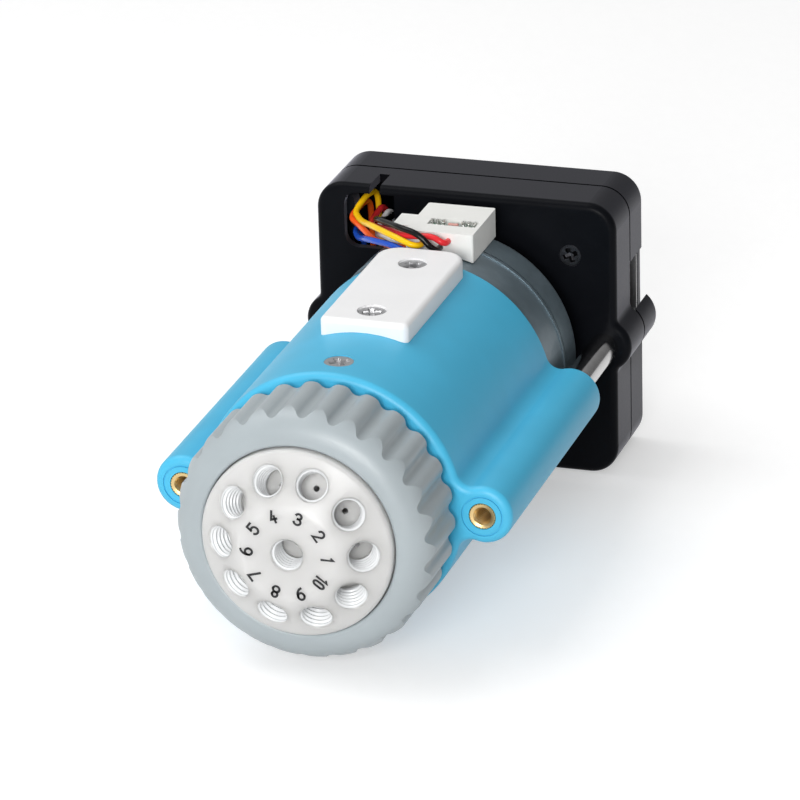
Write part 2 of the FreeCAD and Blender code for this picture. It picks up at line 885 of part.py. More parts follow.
def sensor_cover():
    """White cover with a saddle underside, a pocket and two sunk screw holes."""
    outline = [
        (-cover_x, cover_y, cover_front_r),
        (cover_x, cover_y, cover_front_r),
        (cover_x, cover_y + cover_l, cover_rear_r),
        (-cover_x, cover_y + cover_l, cover_rear_r),
    ]
    body = prism_z(outline, barrel_bore_r, cover_top_z)
    top = [e for e in body.Edges if abs(e.BoundBox.ZMin - cover_top_z) < 1e-4]
    body = body.makeFillet(cover_edge_r, top)
    tools = [
        rod(barrel_r + seat_clear, 0, 2 * housing_l),
        block(-pocket_x, pocket_x, pocket_y, pocket_y + pocket_l, 0, cover_top_z - cover_top_wall),
    ]
    return cut_all(body, tools + cover_screw_sets(2 * seat_clear))


def cover_screws():
    """Countersunk screws of the cover."""
    screw = countersunk_screw(cover_screw_head_r, cover_screw_head_t, cover_screw_r, cover_screw_l)
    return [at(screw, 0, y, cover_top_z - cover_screw_sink) for y in cover_screw_ys]


def housing_screw():
    """Countersunk screw in the top of the barrel."""
    screw = countersunk_screw(cover_screw_head_r, cover_screw_head_t, cover_screw_r, housing_screw_l)
    return at(screw, 0, housing_screw_y, barrel_r - 2 * sink)


# Planetary stage

def involute(angle):
    """Involute function of a pressure angle in radians."""
    return math.tan(angle) - angle


def tooth_outline(teeth, root_r, tip_r, thinning):
    """Points round a gear of straight-sided tooth pieces, the first tooth centred on +X."""
    pitch_r = module * teeth / 2
    alpha = math.radians(pressure_angle)
    base_r = pitch_r * math.cos(alpha)

    def half_angle(r):
        local = math.acos(min(1.0, base_r / max(r, base_r)))
        return math.pi / (2 * teeth) - thinning / (2 * pitch_r) + involute(alpha) - involute(local)

    radii = (root_r, (max(root_r, base_r) + pitch_r) / 2, pitch_r + (tip_r - pitch_r) / 2, tip_r)
    points = []
    for i in range(teeth):
        centre = 2 * math.pi * i / teeth
        flank = [(r, half_angle(r)) for r in radii]
        points += [(r, centre - a) for r, a in flank]
        points += [(r, centre + a) for r, a in reversed(flank)]
    return points


def gear_solid(teeth, root_r, tip_r, thinning, y0, y1):
    """Toothed prism about the valve axis."""
    ring = [V(r * math.cos(a), y0, r * math.sin(a)) for r, a in tooth_outline(teeth, root_r, tip_r, thinning)]
    profile = Part.Face(Part.makePolygon(ring + ring[:1]))
    return profile.extrude(V(0, y1 - y0, 0))


def planet_centres():
    """Centres of the planets in the XZ plane, with their angles."""
    angles = [first_planet_angle + 360.0 * i / planet_count for i in range(planet_count)]
    return [(a, planet_ring_r * math.cos(math.radians(a)), planet_ring_r * math.sin(math.radians(a)))
            for a in angles]


def ring_gear():
    """Fixed ring with inward teeth, one of them on each planet's line."""
    pitch_r = module * ring_teeth / 2
    spaces = gear_solid(ring_teeth, pitch_r - module * addendum, pitch_r + module * dedendum,
                        -backlash, ring_y - over, motor_y - flange_t + over)
    body = rod(gear_bore_r - seat_clear, ring_y, motor_y - flange_t - seat_clear)
    return body.cut(turn(spaces, first_planet_angle + 180.0 / ring_teeth))


def planet_gear(index):
    """Planet with one tooth pointing at the sun and a running bore."""
    angle, x, z = planet_centres()[index]
    pitch_r = module * planet_teeth / 2
    gear = gear_solid(planet_teeth, pitch_r - module * dedendum, pitch_r + module * addendum,
                      backlash, gear_y, gear_y + gear_l)
    gear = gear.cut(rod(planet_pin_r + planet_pin_clear, gear_y - over, gear_y + gear_l + over))
    return at(turn(gear, angle + 180), x, 0, z)


def sun_gear():
    """Sun on the motor shaft, with a tooth space on each planet's line."""
    pitch_r = module * sun_teeth / 2
    gear = gear_solid(sun_teeth, pitch_r - module * dedendum, pitch_r + module * addendum,
                      backlash, gear_y, gear_y + sun_l)
    gear = gear.cut(rod(motor_shaft_r + seat_clear, gear_y - over, gear_y + sun_l + over))
    return turn(gear, first_planet_angle + 180.0 / sun_teeth)


def planet_carrier():
    """Plate on the output shaft that carries the planet pins."""
    plate = rod(carrier_r, carrier_y, carrier_y + carrier_t)
    hub = rod(hub_r, disc_y + hub_l / 2 + seat_clear, carrier_y + over)
    tools = [rod(shaft_r + seat_clear, disc_y, carrier_y + carrier_t + over)]
    for _, x, z in planet_centres():
        tools.append(rod(planet_pin_r + seat_clear, carrier_y - over, carrier_y + carrier_t + over, x, z))
    return cut_all(joined([plate, hub]), tools)


def planet_pins():
    """Pins of the three planets."""
    return [rod(planet_pin_r, carrier_y, gear_y + gear_l + run_clear, x, z) for _, x, z in planet_centres()]


# Motor

def motor_flange():
    """Plate that closes the gear space and holds the motor."""
    return sleeve(gear_bore_r - seat_clear, flange_hole_r, motor_y - flange_t, motor_y - seat_clear)


def motor_front_can():
    """Drawn steel cup with a rolled lip at the seam."""
    profile = [
        (motor_bush_r + seat_clear, motor_y, 0),
        (motor_r, motor_y, can_t),
        (motor_r, seam_y - lip_l, 0),
        (motor_r + lip_rise, seam_y - lip_l, 0),
        (motor_r + lip_rise, seam_y, 0),
        (motor_r - can_t, seam_y, 0),
        (motor_r - can_t, motor_y + can_t, 0),
        (motor_bush_r + seat_clear, motor_y + can_t, 0),
    ]
    return turned(profile)


def motor_rear_can():
    """Rear steel cup."""
    profile = [
        (motor_bush_r + seat_clear, motor_end_y, 0),
        (motor_r, motor_end_y, 2 * can_t),
        (motor_r, rear_can_y, 0),
        (motor_r - can_t, rear_can_y, 0),
        (motor_r - can_t, motor_end_y - can_t, can_t),
        (motor_bush_r + seat_clear, motor_end_y - can_t, 0),
    ]
    return turned(profile)


def seam_plate():
    """Steel plate between the two cups, seen as the dark line of the seam."""
    return sleeve(seam_plate_r, bobbin_inner_r, seam_y + seat_clear, rear_can_y - seat_clear)


def bobbin_ranges():
    """Front and rear ends of the two bobbins."""
    return ((motor_y + can_t + bobbin_gap, seam_y - bobbin_gap),
            (rear_can_y + bobbin_gap, motor_end_y - can_t - bobbin_gap))


def coil_bobbins():
    """Plastic spools of the two phases."""
    spools = []
    for y0, y1 in bobbin_ranges():
        spools.append(turned([
            (bobbin_inner_r, y0, 0),
            (bobbin_r, y0, 0),
            (bobbin_r, y0 + bobbin_wall, 0),
            (bobbin_inner_r + bobbin_wall, y0 + bobbin_wall, 0),
            (bobbin_inner_r + bobbin_wall, y1 - bobbin_wall, 0),
            (bobbin_r, y1 - bobbin_wall, 0),
            (bobbin_r, y1, 0),
            (bobbin_inner_r, y1, 0),
        ]))
    return spools


def motor_coils():
    """Copper windings on the spools."""
    inset = bobbin_wall + seat_clear
    return [sleeve(bobbin_r - inset, bobbin_inner_r + inset, y0 + inset, y1 - inset)
            for y0, y1 in bobbin_ranges()]


def motor_shaft():
    """Shaft of the motor, with the sun gear on its front end."""
    return rod(motor_shaft_r, gear_y, motor_end_y - run_clear)


def motor_bushes():
    """Bronze bushes at both ends of the motor."""
    return [sleeve(motor_bush_r, motor_shaft_r + run_clear, y, y + bush_l)
            for y in (motor_y - bush_l / 2, motor_end_y - bush_l)]


def magnet_rotor():
    """Ring magnet of the motor."""
    front = motor_y + bush_l / 2 + magnet_end_gap
    return sleeve(magnet_r, motor_shaft_r + seat_clear, front, motor_end_y - bush_l - magnet_end_gap)


# Terminal cover

def terminal_cover():
    """White cover over the coil terminals, with a step, a slot for the pins and wire exits."""
    outline = [
        (terminal_x0, terminal_y, terminal_edge_r),
        (terminal_x1, terminal_y, terminal_edge_r),
        (terminal_x1, motor_end_y, terminal_edge_r),
        (terminal_x0, motor_end_y, terminal_edge_r),
    ]
    main = prism_z(outline, 0, terminal_top_z)
    step = block(step_x0, terminal_x0 + over, step_y0, step_y1, 0, step_top_z)
    slot = block(terminal_slot_x0, terminal_slot_x1, terminal_slot_y0, terminal_slot_y1,
                 terminal_top_z - terminal_slot_depth, terminal_top_z + over)
    tools = [rod(motor_r + lip_rise + seat_clear, 0, 2 * motor_end_y), slot]
    for start, leave in [wire_points(colour)[:2] for colour in wire_routes]:
        run = V(*leave).sub(V(*start))
        tools.append(Part.makeCylinder(wire_r + seat_clear, run.Length, V(*start), run))
    pin_hole = Part.makeCylinder(terminal_pin_r + seat_clear, terminal_pin_l, V(0, 0, 0))
    for x in terminal_pin_xs:
        tools.append(at(pin_hole, x, (terminal_slot_y0 + terminal_slot_y1) / 2,
                        terminal_top_z - terminal_pin_l + over / 2))
    return cut_all(joined([main, step]), tools)


def terminal_board():
    """Narrow circuit board in the slot of the terminal cover."""
    middle = (terminal_slot_y0 + terminal_slot_y1) / 2
    base = terminal_top_z - terminal_slot_depth + seat_clear
    body = block(terminal_slot_x0 + seat_clear, terminal_slot_x1 - seat_clear,
                 middle - terminal_board_l / 2, middle + terminal_board_l / 2, base, base + board_t)
    hole = Part.makeCylinder(terminal_pin_r + seat_clear, 2 * terminal_pin_l, V(0, 0, 0))
    return cut_all(body, [at(hole, x, middle, base - terminal_pin_l) for x in terminal_pin_xs])


def terminal_pins():
    """Coil terminals that stand up through the board."""
    pin = Part.makeCylinder(terminal_pin_r, terminal_pin_l - sink, V(0, 0, 0))
    middle = (terminal_slot_y0 + terminal_slot_y1) / 2
    return [at(pin, x, middle, terminal_top_z - terminal_pin_l + over / 2 + sink) for x in terminal_pin_xs]


# Wires, each from the terminal cover round to the header in the controller box.
# Each point is (x, distance behind the housing, height over the motor).

wire_routes = {
    "red": [
        (3.2, 6.7, 3.2), (3.1, 3.0, 3.4), (0.4, 3.6, 4.7), (-6.2, 3.8, 4.2), (-9.4, 7.2, 3.6),
        (-15.0, 13.2, 2.0), (-19.4, 22.6, -1.3), (-20.8, 28.2, -2.4), (-20.2, 35.6, -0.8),
    ],
    "black": [
        (1.4, 6.7, 1.7), (1.4, 1.9, 1.9), (-2.2, 2.0, 5.6), (-6.6, 3.2, 6.2),
        (-15.0, 12.4, 4.1), (-17.4, 22.6, -0.1), (-17.4, 28.6, -2.2), (-16.8, 35.6, -2.4),
    ],
    "yellow": [
        (-2.2, 6.7, 2.6), (-2.2, 1.5, 2.7), (-8.4, 3.0, 4.4), (-14.4, 8.8, 3.8),
        (-19.8, 17.4, 1.3), (-23.6, 25.0, 0.4), (-22.4, 30.2, 2.6), (-22.0, 35.6, 1.6),
    ],
    "white": [
        (-5.5, 6.6, 2.1), (-9.2, 6.5, 2.1), (-13.8, 12.6, 0.6),
        (-17.5, 21.6, -3.1), (-19.0, 27.6, -3.2), (-18.8, 35.6, -1.6),
    ],
    "orange": [
        (-5.5, 6.8, 0.5), (-9.2, 6.7, 0.4), (-15.6, 13.0, -0.9), (-19.6, 17.8, -0.4),
        (-24.9, 25.8, -1.3), (-23.6, 31.0, 0.4), (-23.6, 35.6, -1.0),
    ],
    "blue": [
        (-3.6, 6.7, 1.2), (-3.7, 1.6, 1.3), (-8.4, 3.2, 2.2), (-15.6, 9.4, 0.5),
        (-20.6, 18.2, -2.9), (-23.6, 25.2, -4.4), (-25.4, 31.6, -5.4),
    ],
}

header_order = ("blue", "orange", "yellow", "red", "white", "black")


def wire_points(colour):
    """Points of one wire's route, set from the housing's rear face and the motor's top."""
    return [(x, housing_l + back, motor_r + rise) for x, back, rise in wire_routes[colour]]


def wire(colour):
    """Lead of one colour from its exit in the terminal cover to its place in the header."""
    pitch = (header_x1 - header_x0) / len(header_order)
    place = header_x0 + pitch * (header_order.index(colour) + 0.5)
    end_y = pcb_back_y + header_l / 2
    points = wire_points(colour) + [(place, end_y, header_z1 + wire_drop), (place, end_y, header_z1)]
    return tube(points, wire_r)


# Posts and controller box

def posts():
    """Steel posts between the ears and the controller box."""
    result = []
    for side in (-1, 1):
        x = side * post_x
        body = joined([rod(post_r, housing_l + seat_clear, box_y - seat_clear, x),
                       rod(stud_r, housing_l - stud_l, housing_l + over, x)])
        result.append(body.cut(rod(post_screw_r + seat_clear, box_y - post_hole_l - over, box_y + over, x)))
    return result


def box_outline(y, inset, lobed):
    """Outline of the box moved in by an inset, with or without its two lobes."""
    corner = box_corner_r - inset
    side = box_x - inset
    x = side - corner
    low = box_bottom_z + inset + corner
    high = box_top_z - inset - corner
    blend = lobe_blend_r + inset
    lobe = lobe_r - inset
    away = side + blend - post_x
    z = math.sqrt((lobe + blend) ** 2 - away ** 2)
    tilt = math.degrees(math.atan2(z, away))
    right = [
        (side + blend, -z, blend, 180, 180 - tilt),
        (post_x, 0, lobe, -tilt, tilt),
        (side + blend, z, blend, tilt + 180, 180),
    ]
    left = [(-u, -v, r, start + 180, end + 180) for u, v, r, start, end in right]
    upper = [(x, high, corner, 0, 90), (-x, high, corner, 90, 180)]
    lower = [(-x, low, corner, 180, 270), (x, low, corner, 270, 360)]
    return arc_outline(right + upper + left + lower if lobed else upper + lower, y)


def rounded_box(y0, y1, inset):
    """Rounded rectangle of the box moved in by an inset, drawn out along Y."""
    return box_outline(y0, inset, False).extrude(V(0, y1 - y0, 0))


def box_prism(y0, y1, inset=0.0):
    """The box with its two lobes, moved in by an inset, drawn out along Y."""
    return box_outline(y0, inset, True).extrude(V(0, y1 - y0, 0))


def board_screw_places():
    """Centres of the two board screws."""
    return ((board_screw_x, board_screw_z), (-board_screw_x, -board_screw_z))


def case_screw_places():
    """Centres of the four case screws."""
    x = box_x - case_screw_inset
    zs = (box_bottom_z + case_screw_inset, box_top_z - case_screw_inset)
    return [(side * x, z) for side in (-1, 1) for z in zs]


def controller_front_shell():
    """Front half of the box with the post seats, wire window and slot."""
    body = box_prism(box_y, split_y - seat_clear)
    body = body.makeFillet(box_front_r, edges_at_y(body, box_y))
    room = rounded_box(box_y + box_wall, split_y + over, box_wall)
    rooms = [rod(post_screw_room_r, box_y + box_wall, split_y + over, side * post_x) for side in (-1, 1)]
    shell = body.cut([room] + rooms)
    base_y = box_y + box_wall / 2
    top_y = board_y - seat_clear
    bosses = [rod(standoff_r, base_y, top_y, x, z) for x, z in board_screw_places()]
    bosses += [rod(case_post_r, base_y, top_y, x, z) for x, z in case_screw_places()]
    bosses = [boss.common(body) for boss in bosses]
    shell = joined([shell] + bosses)
    top_room = box_top_z - box_wall
    window = prism_y([
        (wire_window_x0, wire_window_z0, wire_window_r),
        (wire_window_x1, wire_window_z0, wire_window_r),
        (wire_window_x1, top_room, 0),
        (wire_window_x0, top_room, wire_window_r),
    ], box_y - over, box_y + box_wall + sink)
    tools = [window, block(wire_slot_x0, wire_slot_x1, box_y - over, box_y + wire_slot_l,
                           top_room - over, box_top_z + over)]
    for side in (-1, 1):
        tools.append(rod(post_screw_r + seat_clear, box_y - over, box_y + box_wall + over, side * post_x))
    hole = facing_front(countersink(board_screw_head_r, board_screw_head_t, board_screw_r,
                                    front_shell_l, seat_clear))
    tools += [at(hole, x, box_y + sink, z) for x, z in board_screw_places()]
    for x, z in case_screw_places():
        tools.append(rod(case_screw_r + seat_clear, box_y + 2 * box_wall, split_y + over, x, z))
    return cut_all(shell, tools)


def controller_rear_cover():
    """Rear half of the box with a parting groove, screw posts and the socket's window."""
    rim = box_prism(split_y, split_y + part_line_l, part_line)
    body = box_prism(split_y + part_line_l, box_end_y)
    body = body.makeFillet(box_rear_r, edges_at_y(body, box_end_y))
    body = joined([body, rim])
    shell = body.cut(rounded_box(split_y - over, box_end_y - box_wall, box_wall))
    bosses = [rod(case_post_r, split_y, box_end_y - box_wall / 2, x, z).common(body)
              for x, z in case_screw_places()]
    shell = joined([shell] + bosses)
    tools = [socket_nose(socket_window_clear)]
    edge = socket_recess_edge
    tools.append(block(box_x - socket_recess, box_x + over, split_y + part_line_l, box_end_y + over,
                       socket_z0 - edge, socket_z1 + edge))
    for x, z in case_screw_places():
        tools.append(rod(case_screw_r + seat_clear, split_y - over, box_end_y + over, x, z))
        tools.append(rod(case_screw_head_r + seat_clear, box_end_y - case_screw_head_t,
                         box_end_y + over, x, z))
    return cut_all(shell, tools)


def case_screws():
    """Screws that pull the rear cover on to the front shell."""
    head_y = box_end_y - case_screw_head_t + seat_clear
    screw = pan_screw(case_screw_head_r, case_screw_head_t - sink, case_screw_r,
                      head_y - box_y - 3 * box_wall)
    return [at(screw, x, head_y, z) for x, z in case_screw_places()]


def board_screws():
    """Countersunk screws through the box's face into the board's standoffs."""
    screw = facing_front(countersunk_screw(board_screw_head_r, board_screw_head_t, board_screw_r,
                                           board_y - box_y - 2 * sink))
    return [at(screw, x, box_y + sink, z) for x, z in board_screw_places()]


def post_screws():
    """Pan screws from inside the box into the posts."""
    seat = box_y + box_wall + seat_clear
    screw = pan_screw(post_screw_head_r, post_screw_head_t, post_screw_r, box_wall + post_hole_l)
    return [at(screw, side * post_x, seat, 0) for side in (-1, 1)]


def controller_board():
    """Circuit board of the controller, with a notch where the wires pass."""
    half = box_x - box_wall - pcb_edge
    low = box_bottom_z + box_wall + pcb_edge
    high = box_top_z - box_wall - pcb_edge
    outline = [
        (-half, low, 3 * pcb_edge),
        (half, low, 3 * pcb_edge),
        (half, high, 3 * pcb_edge),
        (pcb_notch_x, high, pcb_edge),
        (pcb_notch_x, pcb_notch_z, pcb_edge),
        (-half, pcb_notch_z, pcb_edge),
    ]
    board = prism_y(outline, board_y, pcb_back_y)
    tools = [rod(case_screw_r + 2 * sink, board_y - over, pcb_back_y + over, x, z)
             for x, z in case_screw_places()]
    return cut_all(board, tools)


def wire_header():
    """Header on the back of the board that takes the six motor wires."""
    return block(header_x0, header_x1, pcb_back_y + seat_clear, pcb_back_y + header_l, header_z0,
                 header_z1 - seat_clear)


def socket_nose(clear):
    """Part of the socket that stands in the rear cover's window, opened by a clearance."""
    mouth_x = box_x + over if clear else box_x - socket_recess - sink
    return block(box_x - box_wall - 2 * seat_clear - clear, mouth_x,
                 socket_nose_y - clear, socket_end_y + clear, socket_z0 - clear, socket_z1 + clear)


def data_socket():
    """Power and data socket, open towards the right side of the box."""
    inner = block(socket_x0, box_x - box_wall - seat_clear, pcb_back_y + seat_clear, socket_end_y,
                  socket_z0, socket_z1)
    wall = socket_wall
    room = block(socket_x0 + 2 * wall, box_x + over, socket_nose_y + wall, socket_end_y - wall,
                 socket_z0 + wall, socket_z1 - wall)
    return joined([inner, socket_nose(0)]).cut(room)


def board_components():
    """Driver chip, microcontroller and two capacitors on the board."""
    y0 = pcb_back_y + seat_clear
    half = chip_size / 2
    chips = [block(x - half, x + half, y0, y0 + chip_t, z - half, z + half)
             for x, z in chip_places]
    caps = [rod(capacitor_r, y0, y0 + capacitor_l, x, z) for x, z in capacitor_places]
    return chips + caps


os.makedirs("parts", exist_ok=True)

nodes = {
    "housing": housing,
    "brass_inserts": brass_inserts,
    "valve_head": valve_head,
    "locating_pins": locating_pins,
    "cap_nut": cap_nut,
    "slip_washer": slip_washer,
    "valve_rotor": valve_rotor,
    "rotor_cup": rotor_cup,
    "drive_pin": drive_pin,
    "disc_springs": disc_springs,
    "output_shaft": output_shaft,
    "spacer_washer": spacer_washer,
    "bearing_outer_race": outer_race,
    "bearing_inner_race": inner_race,
    "bearing_balls": bearing_balls,
    "bearing_cage": bearing_cage,
    "support_plate": support_plate,
    "support_bush": support_bush,
    "plate_screws": plate_screws,
    "encoder_disc": encoder_disc,
    "optical_sensor": optical_sensor,
    "sensor_board": sensor_board,
    "sensor_cover": sensor_cover,
    "cover_screws": cover_screws,
    "housing_screw": housing_screw,
    "ring_gear": ring_gear,
    "sun_gear": sun_gear,
    "planet_carrier": planet_carrier,
    "planet_pins": planet_pins,
    "motor_flange": motor_flange,
    "motor_front_can": motor_front_can,
    "motor_rear_can": motor_rear_can,
    "seam_plate": seam_plate,
    "coil_bobbins": coil_bobbins,
    "motor_coils": motor_coils,
    "motor_shaft": motor_shaft,
    "motor_bushes": motor_bushes,
    "magnet_rotor": magnet_rotor,
    "terminal_cover": terminal_cover,
    "terminal_board": terminal_board,
    "terminal_pins": terminal_pins,
    "posts": posts,
    "post_screws": post_screws,
    "controller_front_shell": controller_front_shell,
    "controller_rear_cover": controller_rear_cover,
    "case_screws": case_screws,
    "board_screws": board_screws,
    "controller_board": controller_board,
    "wire_header": wire_header,
    "data_socket": data_socket,
    "board_components": board_components,
}

for name, build in nodes.items():
    export(name, build())

for index in range(planet_count):
    export("planet_gear_%d" % (index + 1), planet_gear(index))

for colour in wire_routes:
    export("%s_wire" % colour, wire(colour))
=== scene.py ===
import math
import random

import bpy
from bpy.props import FloatProperty, FloatVectorProperty, IntProperty, PointerProperty
from mathutils import Matrix, Vector


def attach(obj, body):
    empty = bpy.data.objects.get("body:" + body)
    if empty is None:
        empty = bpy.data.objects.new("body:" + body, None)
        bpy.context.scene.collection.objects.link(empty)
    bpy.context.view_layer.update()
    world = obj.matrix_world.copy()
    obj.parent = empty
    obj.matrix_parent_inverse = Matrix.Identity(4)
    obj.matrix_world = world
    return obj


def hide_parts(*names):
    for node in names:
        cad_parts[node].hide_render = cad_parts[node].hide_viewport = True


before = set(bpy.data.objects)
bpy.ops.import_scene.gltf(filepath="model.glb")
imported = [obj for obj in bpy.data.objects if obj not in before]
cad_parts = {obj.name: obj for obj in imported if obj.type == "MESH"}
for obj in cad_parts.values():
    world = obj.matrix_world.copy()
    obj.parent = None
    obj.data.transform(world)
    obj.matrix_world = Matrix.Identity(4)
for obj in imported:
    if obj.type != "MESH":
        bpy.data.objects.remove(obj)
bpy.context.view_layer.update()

bl_info = {
    "name": "Ten-way selector valve",
    "version": (1, 0, 0),
    "blender": (4, 5, 0),
    "location": "3D View > Sidebar > Valve",
    "description": "Finishes, small parts and studio of a ten-way selector valve",
    "category": "Object",
}

MM = 0.001
TURN = 2 * math.pi

# Places that the CAD parts give, in millimetres
PORT_COUNT = 10
PORT_RING_R = 14.66
PORT_BORE_R = 3.175
PORT_DEPTH = 6.5
HEAD_FACE_Y = -27.3
HEAD_FLAT_R = 9.5
HEAD_SLOPE = math.radians(30)
INSERT_X = 31.0
INSERT_R = 2.75
INSERT_BORE_R = 1.65
INSERT_L = 7.98
COVER_TOP_Z = 29.4
COVER_SCREW_YS = (28.5, 55.5)
COVER_SCREW = (3.0, 1.7, 1.5, 4.1)
COVER_SCREW_SINK = 0.4
HOUSING_SCREW_Y = 7.2
HOUSING_SCREW_Z = 26.7
HOUSING_SCREW = (3.0, 1.7, 1.5, 6.0)
BOX_FACE_Y = 91.2
BOARD_SCREW_PLACES = ((23.1, 20.0), (-23.1, -20.0))
BOARD_SCREW = (2.4, 1.4, 1.25, 5.2)
BOX_REAR_Y = 113.0
CASE_SCREW_PLACES = ((-27.8, -24.1), (27.8, -24.1), (-27.8, 26.6), (27.8, 26.6))
CASE_SCREW = (2.3, 1.5, 1.25, 14.8)
SINK = 0.1
TERMINAL_PIN_XS = (-2.1, -0.9, 0.3, 4.6, 5.8, 7.0)
TERMINAL_Y = 75.9
TERMINAL_BOARD_Z = 30.02
FLOOR_Z = -29.2

# Digits, in shares of their height
DIGIT_WIDTH = 0.6
DIGIT_PITCH = 0.54

# Solder, wire ends and the small part between the pins, in millimetres
SOLDER_R = (0.56, 0.64)
SOLDER_H = (1.3, 1.62)
COIL_R = 0.46
COIL_WIRE_R = 0.085
COIL_FOOT = 0.28
COIL_RISE = 0.09
COIL_TAIL = ((0.5, 1.0, 0.7), (0.3, 1.32, 0.1))
FUSE_L = 2.3
FUSE_R = 0.42
FUSE_Z = 0.5
FUSE_FOOT = 0.3
FUSE_GRIP = 0.46

# Lamps, each with its place and size in millimetres, and the floor's own light
LAMPS = (("key", (100, -880, 330), 380), ("top", (-270, 40, 560), 420), ("rim", (560, -160, 220), 300))
FLOOR_GLOW = 0.42


class ValveColours(bpy.types.PropertyGroup):
    """Colours of the parts that show most."""
    housing: FloatVectorProperty(
        name="Housing", description="Blue of the anodised housing", subtype="COLOR",
        size=3, min=0, max=1, default=(0.06, 0.46, 0.71))
    cap: FloatVectorProperty(
        name="Cap nut", description="Grey of the clamping nut", subtype="COLOR",
        size=3, min=0, max=1, default=(0.37, 0.415, 0.435))
    head: FloatVectorProperty(
        name="Valve head", description="White of the ported head", subtype="COLOR",
        size=3, min=0, max=1, default=(0.64, 0.636, 0.63))
    cover: FloatVectorProperty(
        name="Sensor cover", description="White of the cover on the barrel", subtype="COLOR",
        size=3, min=0, max=1, default=(0.90, 0.90, 0.905))
    motor: FloatVectorProperty(
        name="Motor", description="Grey of the motor's cans", subtype="COLOR",
        size=3, min=0, max=1, default=(0.18, 0.235, 0.27))
    box: FloatVectorProperty(
        name="Controller box", description="Black of the controller box", subtype="COLOR",
        size=3, min=0, max=1, default=(0.0035, 0.004, 0.0055))


class ValveDetails(bpy.types.PropertyGroup):
    """Sizes of the small parts."""
    digit_height: FloatProperty(
        name="Digit height", description="Height of the port numbers", unit="LENGTH",
        min=0.5 * MM, max=4 * MM, default=2.35 * MM)
    digit_stroke: FloatProperty(
        name="Digit stroke", description="Line width of the port numbers", unit="LENGTH",
        min=0.05 * MM, max=MM, default=0.48 * MM)
    digit_ring: FloatProperty(
        name="Digit ring", description="Radius on which the port numbers stand", unit="LENGTH",
        min=2 * MM, max=9 * MM, default=8.26 * MM)
    thread_pitch: FloatProperty(
        name="Port thread pitch", description="Pitch of the threads in the ports", unit="LENGTH",
        min=0.4 * MM, max=2 * MM, default=0.907 * MM)
    thread_depth: FloatProperty(
        name="Port thread depth", description="Height of the threads in the ports", unit="LENGTH",
        min=0.1 * MM, max=MM, default=0.42 * MM)
    knurl_count: IntProperty(
        name="Knurl teeth", description="Teeth round each brass insert", min=12, max=60, default=28)


class ValveStudio(bpy.types.PropertyGroup):
    """Viewing angle and light."""
    azimuth: FloatProperty(
        name="Azimuth", description="Angle of the view to the right of the valve axis",
        subtype="ANGLE", default=math.radians(18.211))
    elevation: FloatProperty(
        name="Elevation", description="Angle of the view above the horizon",
        subtype="ANGLE", default=math.radians(22.427))
    roll: FloatProperty(
        name="Roll", description="Tilt of the camera about its line of sight",
        subtype="ANGLE", default=math.radians(-1.502))
    distance: FloatProperty(
        name="Distance", description="Distance of the camera from the valve's origin",
        unit="LENGTH", min=0.1, default=1014.269 * MM)
    aside: FloatVectorProperty(
        name="Aside", description="Shift of the camera to the right and up", subtype="XYZ",
        size=2, default=(13.511 * MM, 19.813 * MM))
    lens: FloatProperty(
        name="Lens", description="Focal length in millimetres", min=20, default=231.9)
    sky: FloatProperty(
        name="Room light", description="Strength of the light from all round", min=0, default=0.46)
    key: FloatProperty(
        name="Key lamp", description="Power of the lamp in front of the valve", unit="POWER",
        min=0, default=6.8)
    top: FloatProperty(
        name="Top lamp", description="Power of the lamp above, at the left", unit="POWER",
        min=0, default=1.4)
    rim: FloatProperty(
        name="Rim lamp", description="Power of the lamp at the right", unit="POWER",
        min=0, default=0.1)


# Shader maths

def is_wide(value):
    """True for a colour or a vector."""
    if isinstance(value, Field):
        return value.socket.type in ("RGBA", "VECTOR")
    return isinstance(value, (tuple, list))


